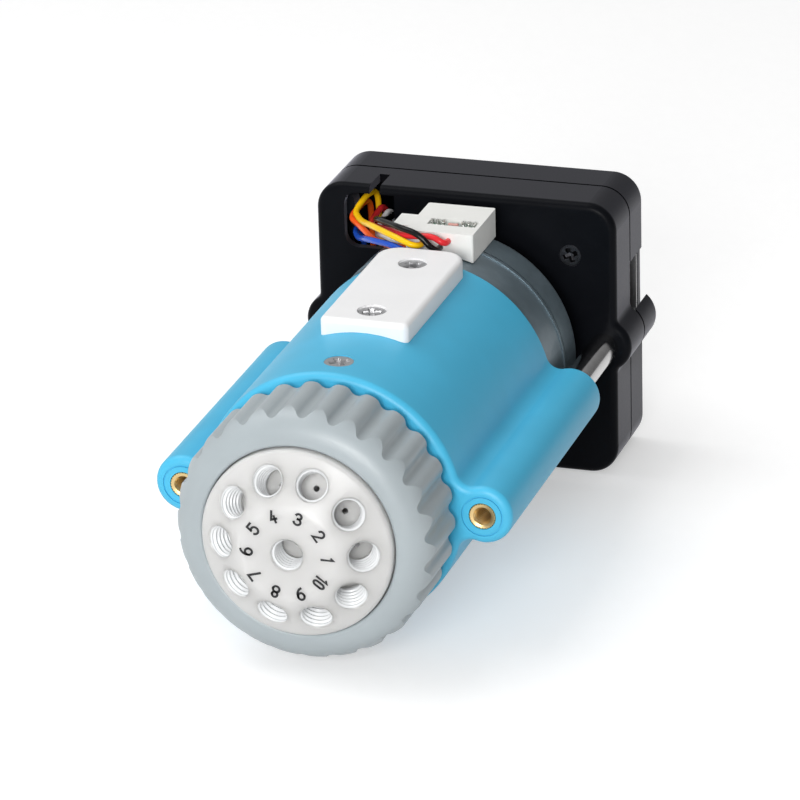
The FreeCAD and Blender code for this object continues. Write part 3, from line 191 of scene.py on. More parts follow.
class Field:
    """A socket of a node tree, on which arithmetic adds Math and Vector Math nodes."""

    def __init__(self, tree, socket):
        self.tree = tree
        self.socket = socket

    def node(self, kind, settings=None, values=None, output=0):
        """One more node of the tree: settings first, then the values or links of its sockets."""
        made = self.tree.nodes.new(kind)
        for name, setting in (settings or {}).items():
            setattr(made, name, setting)
        for name, value in (values or {}).items():
            socket = made.inputs[name]
            if isinstance(value, Field):
                self.tree.links.new(value.socket, socket)
            elif socket.type == "RGBA":
                socket.default_value = (*value, 1)
            else:
                socket.default_value = value
        return Field(self.tree, made.outputs[output])

    def pair(self, operation, left, right):
        """Math on numbers, or Vector Math where either side is a colour or a vector."""
        if is_wide(left) or is_wide(right):
            wide = [(v, v, v) if isinstance(v, (int, float)) else v for v in (left, right)]
            return self.node("ShaderNodeVectorMath", {"operation": operation}, dict(enumerate(wide)))
        return self.node("ShaderNodeMath", {"operation": operation}, {0: left, 1: right})

    def __add__(self, other):
        return self.pair("ADD", self, other)

    def __radd__(self, other):
        return self.pair("ADD", other, self)

    def __sub__(self, other):
        return self.pair("SUBTRACT", self, other)

    def __rsub__(self, other):
        return self.pair("SUBTRACT", other, self)

    def __mul__(self, other):
        return self.pair("MULTIPLY", self, other)

    def __rmul__(self, other):
        return self.pair("MULTIPLY", other, self)

    def part(self, axis):
        """One component of a vector."""
        return self.node("ShaderNodeSeparateXYZ", None, {0: self}, "XYZ".index(axis))

    def noise(self, size, detail=2.0, roughness=0.5):
        """Noise whose spots are about size across, in metres."""
        return self.node("ShaderNodeTexNoise", None,
                         {"Vector": self, "Scale": 1 / size, "Detail": detail, "Roughness": roughness})

    def cells(self, size, feature="F1"):
        """Distance to the cells of a Voronoi pattern."""
        return self.node("ShaderNodeTexVoronoi", {"feature": feature}, {"Vector": self, "Scale": 1 / size})

    def stretched(self, x, y, z):
        """Coordinates scaled along each axis."""
        return self * (x, y, z)

    def ranged(self, low, high, new_low=0.0, new_high=1.0):
        """Map of a range of values on to another, smooth and clamped."""
        return self.node("ShaderNodeMapRange", {"interpolation_type": "SMOOTHSTEP"},
                         {"Value": self, "From Min": low, "From Max": high,
                          "To Min": new_low, "To Max": new_high})

    def blend(self, low, high):
        """Colour from low, where this mask is 0, to high, where it is 1."""
        return self.node("ShaderNodeMix", {"data_type": "RGBA"}, {0: self, 6: low, 7: high}, 2)

    def bump(self, strength, distance):
        """Normal from this height; distance in metres."""
        return self.node("ShaderNodeBump", None,
                         {"Strength": strength, "Distance": distance, "Height": self})


def shade(colour, factor):
    """A colour made darker or lighter."""
    return tuple(min(1.0, c * factor) for c in colour)


def new_material(name):
    """Empty material with a shader, and its coordinates in the part's own frame."""
    material = bpy.data.materials.new(name)
    material.use_nodes = True
    tree = material.node_tree
    tree.nodes.clear()
    shader = tree.nodes.new("ShaderNodeBsdfPrincipled")
    output = tree.nodes.new("ShaderNodeOutputMaterial")
    tree.links.new(shader.outputs[0], output.inputs[0])
    place = Field(tree, tree.nodes.new("ShaderNodeTexCoord").outputs["Object"])
    return material, shader, place


def set_shader(shader, **values):
    """Values and links of the shader's sockets, named with underscores."""
    for name, value in values.items():
        socket = shader.inputs[name.replace("_", " ")]
        if isinstance(value, Field):
            value.tree.links.new(value.socket, socket)
        elif socket.type == "RGBA":
            socket.default_value = (*value, 1)
        else:
            socket.default_value = value


def plastic(name, colour, roughness=0.4, grain=0.25, depth=0.01, mottle=0.06, **more):
    """Moulded plastic: fine grain, slight drift of colour and gloss."""
    material, shader, place = new_material(name)
    drift = place.noise(9 * MM, 3)
    fine = place.noise(grain * MM, 2)
    set_shader(
        shader,
        Base_Color=drift.ranged(0.3, 0.7).blend(shade(colour, 1 - mottle), shade(colour, 1 + mottle)),
        Roughness=fine.ranged(0.3, 0.7, roughness - 0.04, roughness + 0.04) + drift * 0.04,
        Normal=fine.bump(0.35, depth * MM),
        **more)
    return material


def soft_plastic(name, colour, roughness, radius, weight, **more):
    """Translucent plastic in which light spreads."""
    return plastic(
        name, colour, roughness, 0.35, 0.006, 0.025,
        Subsurface_Weight=weight, Subsurface_Radius=(radius * MM, radius * MM, 1.05 * radius * MM),
        Subsurface_Scale=1.0, **more)


def metal(name, colour, roughness, lay=(1, 1, 1), line=0.08, depth=0.002, mottle=0.08, metallic=1.0,
          **more):
    """Metal with tool marks along its lay, a slight drift of colour and dull spots."""
    material, shader, place = new_material(name)
    marks = place.stretched(*lay).noise(line * MM, 3, 0.6)
    drift = place.noise(3 * MM, 3)
    set_shader(
        shader,
        Base_Color=drift.ranged(0.3, 0.7).blend(shade(colour, 1 - mottle), shade(colour, 1 + mottle)),
        Roughness=marks.ranged(0.25, 0.75, roughness * 0.75, roughness * 1.25) + drift * 0.05,
        Metallic=metallic,
        Normal=marks.bump(0.3, depth * MM),
        **more)
    return material


def housing_finish(name, colour):
    """Bead-blasted and anodised aluminium: satin, with a fine even grain."""
    material, shader, place = new_material(name)
    blast = place.noise(0.16 * MM, 2)
    pits = place.cells(0.3 * MM)
    drift = place.noise(14 * MM, 2)
    set_shader(
        shader,
        Base_Color=drift.ranged(0.3, 0.7).blend(shade(colour, 0.965), shade(colour, 1.035)),
        Roughness=blast.ranged(0.3, 0.7, 0.40, 0.48),
        Normal=(blast + pits * 0.4).bump(0.22, 0.012 * MM))
    return material


def circuit_finish(name, colour):
    """Solder mask over traces: slightly raised lines in a lighter green."""
    material, shader, place = new_material(name)
    weave = place.cells(1.6 * MM, "DISTANCE_TO_EDGE")
    trace = weave.ranged(0.06, 0.1, 1.0, 0.0)
    fine = place.noise(0.2 * MM, 2)
    set_shader(
        shader,
        Base_Color=trace.blend(colour, shade(colour, 1.7)),
        Roughness=fine.ranged(0.3, 0.7, 0.25, 0.35),
        Normal=(trace + fine * 0.2).bump(0.3, 0.03 * MM),
        Coat_Weight=0.3)
    return material


def lead_finish(name, colour):
    """Extruded insulation: faint ripples along the lead and a soft gloss."""
    material, shader, place = new_material(name)
    ripple = place.noise(0.5 * MM, 2)
    drift = place.noise(5 * MM, 2)
    set_shader(
        shader,
        Base_Color=drift.ranged(0.3, 0.7).blend(shade(colour, 0.93), shade(colour, 1.06)),
        Roughness=ripple.ranged(0.3, 0.7, 0.18, 0.26),
        Normal=ripple.bump(0.25, 0.01 * MM),
        Specular_IOR_Level=0.25)
    return material


def winding_finish(name, colour):
    """Enamelled copper wire wound round the motor's axis, with painted shade in the grooves between turns
    and painted highlight on their crests.
    """
    material, shader, place = new_material(name)
    wire = 0.3 * MM
    one_wave = 0.31
    turns = place.node("ShaderNodeTexWave", {"bands_direction": "Y"},
                       {"Vector": place, "Scale": one_wave / wire, "Distortion": 0.4, "Detail": 1.0}, 1)
    set_shader(
        shader,
        # Painted shade and highlight: the colour is darker in the grooves between the turns and lighter on
        # their crests.
        Base_Color=turns.blend(shade(colour, 0.6), shade(colour, 1.1)),
        Roughness=turns.ranged(0, 1, 0.42, 0.28),
        Metallic=1.0,
        Normal=turns.bump(0.5, 0.1 * MM))
    return material


def make_finishes(colours):
    """Material of every slot of the record, by name."""
    across = (1, 14, 1)
    even = (1, 1, 1)
    faint_depth = {"Subsurface_Weight": 0.1, "Subsurface_Radius": (MM, MM, MM), "Subsurface_Scale": 1.0}
    return {
        "blue_housing": housing_finish("blue_housing", tuple(colours.housing)),
        "brass": metal("brass", (0.83, 0.55, 0.22), 0.3, across, 0.1, 0.003, 0.12),
        "head_white": soft_plastic("head_white", tuple(colours.head), 0.34, 7.0, 0.95),
        "cap_grey": soft_plastic("cap_grey", tuple(colours.cap), 0.36, 2.0, 0.3),
        "steel": metal("steel", (0.56, 0.57, 0.58), 0.28, across),
        "spring_steel": metal("spring_steel", (0.42, 0.40, 0.37), 0.3, across),
        "seal_plastic": soft_plastic("seal_plastic", (0.72, 0.70, 0.62), 0.35, 1.0, 0.3),
        "cup_plastic": plastic("cup_plastic", (0.05, 0.05, 0.055), 0.45),
        "bronze": metal("bronze", (0.50, 0.33, 0.16), 0.42, even, 0.1, 0.006, 0.15),
        "plate_aluminium": metal("plate_aluminium", (0.68, 0.69, 0.70), 0.34, across),
        "cover_white": plastic("cover_white", tuple(colours.cover), 0.36, 0.3, 0.006, 0.012,
                               **faint_depth),
        "disc_black": plastic("disc_black", (0.02, 0.02, 0.02), 0.5),
        "sensor_black": plastic("sensor_black", (0.018, 0.018, 0.02), 0.4),
        "board_green": circuit_finish("board_green", (0.02, 0.12, 0.06)),
        "gear_plastic": soft_plastic("gear_plastic", (0.70, 0.67, 0.58), 0.38, 1.0, 0.3),
        "gear_brass": metal("gear_brass", (0.72, 0.50, 0.22), 0.3, across),
        "motor_steel": metal("motor_steel", tuple(colours.motor), 0.36, across, 0.1, 0.0025, 0.06, 0.55,
                             Coat_Weight=0.15),
        "seam_dark": metal("seam_dark", (0.36, 0.38, 0.39), 0.2, across),
        "bobbin_black": plastic("bobbin_black", (0.03, 0.03, 0.03), 0.5),
        "copper": winding_finish("copper", (0.72, 0.30, 0.14)),
        "magnet": metal("magnet", (0.10, 0.10, 0.105), 0.5, even, 0.2, 0.01, 0.2),
        "terminal_white": plastic("terminal_white", (0.87, 0.87, 0.84), 0.42, 0.3, 0.01, 0.03,
                                  **faint_depth),
        "tin": metal("tin", (0.74, 0.73, 0.70), 0.26, even, 0.25, 0.01, 0.2),
        "post_steel": metal("post_steel", (0.48, 0.475, 0.475), 0.13, across, 0.06, 0.0012, 0.05),
        "screw_steel": metal("screw_steel", (0.66, 0.66, 0.66), 0.22, even, 0.12, 0.003, 0.12),
        "screw_black": metal("screw_black", (0.05, 0.05, 0.055), 0.3, even, 0.12, 0.003, 0.12),
        "box_black": plastic("box_black", tuple(colours.box), 0.33, 0.22, 0.006, 0.1,
                             Specular_IOR_Level=0.05, Sheen_Weight=0.4, Sheen_Roughness=0.3,
                             Sheen_Tint=(0.86, 0.86, 1.0)),
        "header_white": plastic("header_white", (0.80, 0.80, 0.79), 0.45),
        "socket_metal": metal("socket_metal", (0.60, 0.60, 0.61), 0.3, (14, 1, 1)),
        "chip_black": plastic("chip_black", (0.025, 0.025, 0.027), 0.5, 0.12, 0.01, 0.1),
        "wire_red": lead_finish("wire_red", (0.74, 0.028, 0.035)),
        "wire_black": lead_finish("wire_black", (0.005, 0.0045, 0.0045)),
        "wire_yellow": lead_finish("wire_yellow", (0.98, 0.56, 0.006)),
        "wire_white": lead_finish("wire_white", (0.80, 0.80, 0.80)),
        "wire_orange": lead_finish("wire_orange", (0.90, 0.115, 0.012)),
        "wire_blue": lead_finish("wire_blue", (0.012, 0.085, 0.55)),
        "number_ink": plastic("number_ink", (0.012, 0.012, 0.014), 0.45, 0.2, 0.004),
        "fuse_pink": plastic("fuse_pink", (0.62, 0.30, 0.26), 0.4),
    }


# Mesh making, in millimetres

def mesh_piece(name, points, faces, finish, body, smooth=True):
    """Object from points in millimetres that rides on a body."""
    mesh = bpy.data.meshes.new(name)
    mesh.from_pydata([tuple(c * MM for c in p) for p in points], [], faces)
    mesh.validate()
    mesh.update()
    if smooth:
        mesh.shade_smooth()
    mesh.materials.append(bpy.data.materials[finish])
    piece = bpy.data.objects.new(name, mesh)
    bpy.context.scene.collection.objects.link(piece)
    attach(piece, body)
    return piece


def skin(rings, close=False, cap_first=False, cap_last=False):
    """Points and faces of rings with equal counts, joined one to the next."""
    count = len(rings[0])
    points = [p for ring in rings for p in ring]
    faces = []
    rows = len(rings)
    for row in range(rows if close else rows - 1):
        a = row * count
        b = (row + 1) % rows * count
        for i in range(count):
            j = (i + 1) % count
            faces.append((a + i, a + j, b + j, b + i))
    if cap_first:
        faces.append(tuple(reversed(range(count))))
    if cap_last:
        faces.append(tuple(range((rows - 1) * count, rows * count)))
    return points, faces


def merged(parts):
    """Points and faces of several meshes as one."""
    points = []
    faces = []
    for some_points, some_faces in parts:
        start = len(points)
        points += some_points
        faces += [tuple(i + start for i in face) for face in some_faces]
    return points, faces


def moved(part, matrix):
    """Points and faces with the points moved by a matrix in millimetres."""
    points, faces = part
    return [tuple(matrix @ Vector(p)) for p in points], faces


def ring_of(radius, height, count):
    """Circle about Z; the radius may be a number or a function of the angle."""
    points = []
    for i in range(count):
        angle = TURN * i / count
        r = radius(angle) if callable(radius) else radius
        points.append((r * math.cos(angle), r * math.sin(angle), height))
    return points


def smooth_step(low, high, value):
    """Ease from 0 at low to 1 at high."""
    t = min(1.0, max(0.0, (value - low) / (high - low)))
    return t * t * (3 - 2 * t)


def flat_wave(phase, crest=0.12):
    """Thread profile: 1 on the crest, 0 at the root, straight flanks with small flats."""
    distance = abs((phase % 1.0) - 0.5) * 2
    return min(1.0, max(0.0, (1 - distance - crest) / (1 - 2 * crest)))


def thread_rings(bore, depth, pitch, start, end, count, steps=8):
    """Rings of a right-hand thread that stands inwards from a bore, down from start to end."""
    rings = []
    rows = int((start - end) / pitch * steps)
    for row in range(rows + 1):
        height = start + (end - start) * row / rows
        lead_in = smooth_step(0, 0.6 * pitch, start - height)
        run_out = smooth_step(0, 0.8 * pitch, height - end)
        strength = depth * lead_in * run_out

        def radius(angle, height=height, strength=strength):
            return bore - strength * flat_wave(height / pitch - angle / TURN)

        rings.append(ring_of(radius, height, count))
    return rings


# Port numbers

def arc_points(x, y, rx, ry, start, end, steps=16):
    """Points on an elliptical arc; angles in degrees."""
    turns = [math.radians(start + (end - start) * i / steps) for i in range(steps + 1)]
    return [(x + rx * math.cos(t), y + ry * math.sin(t)) for t in turns]


def digit_strokes(digit):
    """Lines of a digit in a cell 0.6 wide and 1 high."""
    if digit == "0":
        return [arc_points(0.3, 0.7, 0.2, 0.3, 0, 180) + arc_points(0.3, 0.3, 0.2, 0.3, 180, 360)
                + [(0.5, 0.7)]]
    if digit == "1":
        return [[(0.2, 0.84), (0.34, 1.0), (0.34, 0.0)]]
    if digit == "2":
        return [arc_points(0.3, 0.72, 0.28, 0.28, 165, -38) + [(0.02, 0.0), (0.6, 0.0)]]
    if digit == "3":
        return [arc_points(0.29, 0.76, 0.25, 0.24, 155, -90), arc_points(0.29, 0.27, 0.29, 0.27, 90, -158)]
    if digit == "4":
        return [[(0.34, 1.0), (0.08, 0.3), (0.54, 0.3)], [(0.4, 0.54), (0.4, 0.0)]]
    if digit == "5":
        return [[(0.54, 1.0), (0.1, 1.0), (0.06, 0.56)], arc_points(0.28, 0.32, 0.3, 0.32, 128, -150)]
    if digit == "6":
        return [arc_points(0.3, 0.3, 0.28, 0.3, 0, 360), arc_points(0.56, 0.32, 0.54, 0.68, 182, 100)]
    if digit == "7":
        return [[(0.02, 1.0), (0.58, 1.0), (0.22, 0.0)]]
    if digit == "8":
        return [arc_points(0.3, 0.76, 0.23, 0.24, 0, 360), arc_points(0.3, 0.27, 0.28, 0.27, 0, 360)]
    return [[(DIGIT_WIDTH - x, 1 - y) for x, y in stroke] for stroke in digit_strokes("6")]


def ribbon(points, width):
    """Flat line of a given width through points, with square ends, as points and faces."""
    sides = []
    count = len(points)
    for i in range(count):
        before = Vector(points[max(i - 1, 0)])
        here = Vector(points[i])
        after = Vector(points[min(i + 1, count - 1)])
        ahead = (after - here).normalized() if i < count - 1 else (here - before).normalized()
        behind = (here - before).normalized() if i else ahead
        along = (ahead + behind).normalized()
        reach = width / 2 / max(0.5, along.dot(ahead))
        across = Vector((-along.y, along.x)) * reach
        if i == 0:
            here = here - along * width / 2
        if i == count - 1:
            here = here + along * width / 2
        sides += [(*(here + across), 0), (*(here - across), 0)]
    faces = [(2 * i, 2 * i + 1, 2 * i + 3, 2 * i + 2) for i in range(count - 1)]
    return sides, faces


def number_mesh(text, height, stroke):
    """Strokes of a number, centred on the origin."""
    parts = []
    width = DIGIT_WIDTH + DIGIT_PITCH * (len(text) - 1)
    for place, digit in enumerate(text):
        for line in digit_strokes(digit):
            offset = place * DIGIT_PITCH - width / 2
            points = [((x + offset) * height, (y - 0.5) * height) for x, y in line]
            parts.append(ribbon(points, stroke))
    return merged(parts)


def radial_frame(angle, radius, y):
    """Matrix whose X runs clockwise, Y outwards and Z towards the front, on a ring of the head."""
    out = Vector((math.cos(angle), 0, math.sin(angle)))
    front = Vector((0, -1, 0))
    across = out.cross(front)
    matrix = Matrix((across, out, front)).transposed().to_4x4()
    matrix.translation = out * radius + Vector((0, y, 0))
    return matrix


class VALVE_OT_port_numbers(bpy.types.Operator):
    """Print the port numbers 1 to 10 on the flat of the head."""
    bl_idname = "valve.port_numbers"
    bl_label = "Port numbers"

    def execute(self, context):
        details = context.scene.valve_details
        proud = 0.012
        for index in range(PORT_COUNT):
            part = number_mesh(str(index + 1), details.digit_height / MM, details.digit_stroke / MM)
            place = radial_frame(TURN * index / PORT_COUNT, details.digit_ring / MM, HEAD_FACE_Y - proud)
            points, faces = moved(part, place)
            mesh_piece("number_%d" % (index + 1), points, faces, "number_ink", "frame",
                       smooth=False)
        return {"FINISHED"}


# Port threads

def port_frame(angle):
    """Matrix of a port: Z points out of its mouth, the origin in the head's sloping face."""
    mouth_y = HEAD_FACE_Y + (PORT_RING_R - HEAD_FLAT_R) * math.tan(HEAD_SLOPE)
    turn = Matrix.Rotation(-angle, 4, "Y")
    tilt = Matrix.Rotation(HEAD_SLOPE, 4, "Z")
    face = Matrix.Rotation(math.radians(90), 4, "X")
    return turn @ Matrix.Translation((PORT_RING_R, mouth_y, 0)) @ tilt @ face


class VALVE_OT_port_threads(bpy.types.Operator):
    """Cut the look of a thread into each port of the head."""
    bl_idname = "valve.port_threads"
    bl_label = "Port threads"

    def execute(self, context):
        details = context.scene.valve_details
        pitch = details.thread_pitch / MM
        depth = details.thread_depth / MM
        slack = 0.004
        lead = 0.28
        tail = 0.5
        sides = 48
        rings = thread_rings(PORT_BORE_R - slack, depth, pitch, -lead, tail - PORT_DEPTH, sides)
        places = [("port_thread_%d" % (i + 1), port_frame(TURN * i / PORT_COUNT))
                  for i in range(PORT_COUNT)]
        centre = Matrix.Translation((0, HEAD_FACE_Y, 0)) @ Matrix.Rotation(math.radians(90), 4, "X")
        places.append(("port_thread_common", centre))
        for name, place in places:
            points, faces = moved(skin(rings), place)
            mesh_piece(name, points, faces, "head_white", "frame")
        return {"FINISHED"}


# Brass inserts

def insert_mesh(knurls):
    """Threaded insert about Z, its face at the origin, its body towards -Z."""
    count = knurls * 6
    tooth = 0.2
    bevel = 0.12
    bevel_z = -0.18
    face_z = -0.01
    recess_z = -0.07
    throat_z = -0.16
    rim_inner_r = INSERT_R - 0.42
    recess_outer_r = INSERT_R - 0.5
    recess_inner_r = INSERT_BORE_R + 0.32
    throat_r = INSERT_BORE_R + 0.2
    thread_r = INSERT_BORE_R + 0.28
    thread_h = 0.27
    thread_pitch = 0.7
    thread_gap = 0.3
    tail_r = INSERT_BORE_R + 0.3

    def knurled(angle, lower=0.0):
        bite = abs(math.sin(angle * knurls / 2))
        return INSERT_R - lower - tooth * (1 - bite ** 0.7)

    def bevelled(angle):
        return knurled(angle, bevel)

    rings = [
        ring_of(knurled, -INSERT_L, count),
        ring_of(knurled, bevel_z, count),
        ring_of(bevelled, face_z, count),
        ring_of(rim_inner_r, face_z, count),
        ring_of(recess_outer_r, recess_z, count),
        ring_of(recess_inner_r, recess_z, count),
        ring_of(throat_r, throat_z, count),
    ]
    rings += thread_rings(thread_r, thread_h, thread_pitch, -thread_gap, thread_gap - INSERT_L, count, 6)
    rings.append(ring_of(tail_r, -INSERT_L, count))
    return skin(rings, close=True)


class VALVE_OT_inserts(bpy.types.Operator):
    """Set knurled brass inserts into the two ears."""
    bl_idname = "valve.inserts"
    bl_label = "Brass inserts"

    def execute(self, context):
        knurls = context.scene.valve_details.knurl_count
        part = insert_mesh(knurls)
        forward = Matrix.Rotation(math.radians(90), 4, "X")
        both = [moved(part, Matrix.Translation((side * INSERT_X, 0, 0)) @ forward) for side in (-1, 1)]
        points, faces = merged(both)
        piece = mesh_piece("knurled_inserts", points, faces, "brass", "frame")
        sharpen(piece, 40)
        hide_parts("brass_inserts")
        return {"FINISHED"}


def sharpen(piece, degrees):
    """Sharp shading where two faces meet at more than an angle."""
    piece.data.shade_smooth()
    piece.data.set_sharp_from_angle(angle=math.radians(degrees))


# Screws with a cross recess

def cross_depth(x, y, reach, half_width, depth):
    """Depth of a cross recess that tapers to a point in the middle."""
    inner = min(abs(x), abs(y))
    outer = max(abs(x), abs(y))
    wing = 1 - smooth_step(half_width, half_width * 1.7, inner)
    fade = 1 - smooth_step(reach * 0.86, reach, outer)
    core = 1 - smooth_step(0, reach * 1.15, outer)
    return depth * wing * fade * (0.55 + 0.45 * core)


def screw_mesh(head_r, head_t, shank_r, length, countersunk, turn):
    """Screw about Z, the rim of its head at the origin, its shank towards -Z."""
    count = 128
    rings = []
    steps = 34
    edge = 0.12
    centre = 0.02
    reach = head_r * 0.68
    half_width = head_r * 0.14
    depth = head_t * 0.85
    for row in range(steps + 1):
        radius = (head_r - edge) * (row + centre) / (steps + centre)
        ring = []
        for i in range(count):
            angle = TURN * i / count
            x = radius * math.cos(angle)
            y = radius * math.sin(angle)
            u = x * math.cos(turn) + y * math.sin(turn)
            v = y * math.cos(turn) - x * math.sin(turn)
            ring.append((x, y, -cross_depth(u, v, reach, half_width, depth)))
        rings.append(ring)
    rings.append(ring_of(head_r, -edge * 0.7, count))
    if countersunk:
        rings.append(ring_of(head_r, -edge, count))
    else:
        rings.append(ring_of(head_r, -head_t, count))
    rings.append(ring_of(shank_r, -head_t, count))
    rings.append(ring_of(shank_r, -length, count))
    return skin(rings, cap_first=True, cap_last=True)


def screw_piece(name, part, place, node, finish="screw_steel"):
    """Screw that stands for a node or a part of it."""
    points, faces = moved(part, place)
    piece = mesh_piece(name, points, faces, finish, "frame")
    sharpen(piece, 32)
    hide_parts(node)


class VALVE_OT_screws(bpy.types.Operator):
    """Fit the screws that show, with cross recesses."""
    bl_idname = "valve.screws"
    bl_label = "Screws"

    def execute(self, context):
        front = Matrix.Rotation(math.radians(90), 4, "X")
        rear = Matrix.Rotation(math.radians(-90), 4, "X")
        cover_turns = (0.35, 0.95)
        for index, y in enumerate(COVER_SCREW_YS):
            part = screw_mesh(*COVER_SCREW, True, turn=cover_turns[index])
            place = Matrix.Translation((0, y, COVER_TOP_Z - COVER_SCREW_SINK))
            screw_piece("cover_screw_%d" % (index + 1), part, place, "cover_screws")
        part = screw_mesh(*HOUSING_SCREW, True, turn=0.6)
        screw_piece("barrel_screw", part, Matrix.Translation((0, HOUSING_SCREW_Y, HOUSING_SCREW_Z)),
                    "housing_screw")
        for index, (x, z) in enumerate(BOARD_SCREW_PLACES):
            part = screw_mesh(*BOARD_SCREW, True, turn=0.4 + index)
            place = Matrix.Translation((x, BOX_FACE_Y + SINK, z)) @ front
            screw_piece("box_face_screw_%d" % (index + 1), part, place, "board_screws", "screw_black")
        for index, (x, z) in enumerate(CASE_SCREW_PLACES):
            part = screw_mesh(*CASE_SCREW, False, turn=0.3 * index)
            place = Matrix.Translation((x, BOX_REAR_Y - SINK, z)) @ rear
            screw_piece("case_screw_%d" % (index + 1), part, place, "case_screws")
        return {"FINISHED"}


# Solder and coil ends on the terminal board

def solder_cone(radius, height, lean):
    """Fillet of solder round a pin, with a lumpy foot and the pin's rounded end on top."""
    count = 20
    rings = []
    profile = ((1.0, 0.0), (0.86, 0.07), (0.66, 0.2), (0.5, 0.38),
               (0.42, 0.6), (0.40, 0.85), (0.30, 0.97), (0.1, 1.0))
    for wide, high in profile:
        def uneven(angle, wide=wide):
            return radius * wide * (1 + 0.12 * (1 - high) * math.sin(2 * angle + lean))
        rings.append(ring_of(uneven, height * high, count))
    return skin(rings, cap_first=True, cap_last=True)


def axial_body(length, radius):
    """Small part with rounded ends and a slight waist, about Z, centred on the origin."""
    profile = ((-0.5, 0.3), (-0.46, 0.8), (-0.38, 1.0), (-0.28, 0.96), (-0.2, 0.82),
               (0.2, 0.82), (0.28, 0.96), (0.38, 1.0), (0.46, 0.8), (0.5, 0.3))
    rings = [ring_of(radius * wide, length * place, 24) for place, wide in profile]
    return skin(rings, cap_first=True, cap_last=True)


def curve_piece(name, lines, radius, finish, body):
    """Round wires along smooth lines through points in millimetres."""
    curve = bpy.data.curves.new(name, "CURVE")
    curve.dimensions = "3D"
    curve.bevel_depth = radius * MM
    curve.bevel_resolution = 3
    curve.resolution_u = 6
    curve.use_fill_caps = True
    for line in lines:
        spline = curve.splines.new("NURBS")
        spline.points.add(len(line) - 1)
        for point, place in zip(spline.points, line):
            point.co = (*[c * MM for c in place], 1)
        spline.order_u = 3
        spline.use_endpoint_u = True
    curve.materials.append(bpy.data.materials[finish])
    piece = bpy.data.objects.new(name, curve)
    bpy.context.scene.collection.objects.link(piece)
    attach(piece, body)


class VALVE_OT_terminals(bpy.types.Operator):
    """Solder the coil ends to the pins of the terminal board."""
    bl_idname = "valve.terminals"
    bl_label = "Terminals"

    def execute(self, context):
        draw = random.Random(4)
        top = TERMINAL_BOARD_Z
        cones = []
        ends = []
        for x in TERMINAL_PIN_XS:
            radius = draw.uniform(*SOLDER_R)
            height = draw.uniform(*SOLDER_H)
            place = Matrix.Translation((x, TERMINAL_Y, top))
            cones.append(moved(solder_cone(radius, height, draw.uniform(0, TURN)), place))
            side = draw.choice((-1, 1))
            loop = []
            for step in range(9):
                angle = side * step * TURN / 6 + draw.uniform(-0.1, 0.1)
                loop.append((x + COIL_R * math.cos(angle), TERMINAL_Y + COIL_R * math.sin(angle),
                             top + COIL_FOOT + COIL_RISE * step))
            for across, behind, above in COIL_TAIL:
                loop.append((x + side * across, TERMINAL_Y + behind, top + above))
            ends.append(loop)
        points, faces = merged(cones)
        mesh_piece("solder_joints", points, faces, "tin", "frame")
        left = TERMINAL_PIN_XS[2]
        right = TERMINAL_PIN_XS[3]
        middle = (left + right) / 2
        high = top + FUSE_Z
        place = Matrix.Translation((middle, TERMINAL_Y, high)) @ Matrix.Rotation(math.radians(90), 4, "Y")
        points, faces = moved(axial_body(FUSE_L, FUSE_R), place)
        mesh_piece("coil_fuse", points, faces, "fuse_pink", "frame")
        for x, side in ((left, -1), (right, 1)):
            end = middle + side * FUSE_L * FUSE_GRIP
            ends.append([(x, TERMINAL_Y, top + FUSE_FOOT), ((x + end) / 2, TERMINAL_Y, high),
                         (end, TERMINAL_Y, high)])
        curve_piece("coil_ends", ends, COIL_WIRE_R, "tin", "frame")
        return {"FINISHED"}


class VALVE_OT_finishes(bpy.types.Operator):
    """Give every CAD part its material."""
    bl_idname = "valve.finishes"
    bl_label = "Finishes"

    def execute(self, context):
        finishes = make_finishes(context.scene.valve_colours)
        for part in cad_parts.values():
            for holder in part.material_slots:
                holder.material = finishes[holder.material.name.split(".")[0]]
        return {"FINISHED"}


# Studio

def floor_finish():
    """White floor that keeps a soft shadow under the valve."""
    material = bpy.data.materials.new("studio_white")
    material.use_nodes = True
    tree = material.node_tree
    tree.nodes.clear()
    rays = tree.nodes.new("ShaderNodeLightPath")
    start = Field(tree, rays.outputs["Is Camera Ray"])
    seen = start.pair("MAXIMUM", start, Field(tree, rays.outputs["Is Glossy Ray"]))
    seen = seen.pair("MAXIMUM", seen, Field(tree, rays.outputs["Is Transmission Ray"]))
    paper = Field(tree, tree.nodes.new("ShaderNodeTexCoord").outputs["Object"]).noise(2 * MM, 2)
    shader = tree.nodes.new("ShaderNodeBsdfPrincipled")
    set_shader(shader, Base_Color=paper.ranged(0.3, 0.7).blend((0.72, 0.72, 0.72), (0.74, 0.74, 0.74)),
               Roughness=0.9, Specular_IOR_Level=0.0)
    glow = start.node("ShaderNodeEmission", None, {"Color": (1, 1, 1), "Strength": seen * FLOOR_GLOW})
    both = start.node("ShaderNodeAddShader", None, {0: Field(tree, shader.outputs[0]), 1: glow})
    output = tree.nodes.new("ShaderNodeOutputMaterial")
    tree.links.new(both.socket, output.inputs[0])
    return material


def area_lamp(name, place, target, size, power):
    """Square soft lamp that points at a target; places in millimetres."""
    lamp = bpy.data.lights.new(name, "AREA")
    lamp.size = size * MM
    lamp.energy = power
    holder = bpy.data.objects.new(name, lamp)
    here = Vector(place) * MM
    holder.location = here
    holder.rotation_euler = (Vector(target) * MM - here).to_track_quat("-Z", "Y").to_euler()
    bpy.context.scene.collection.objects.link(holder)


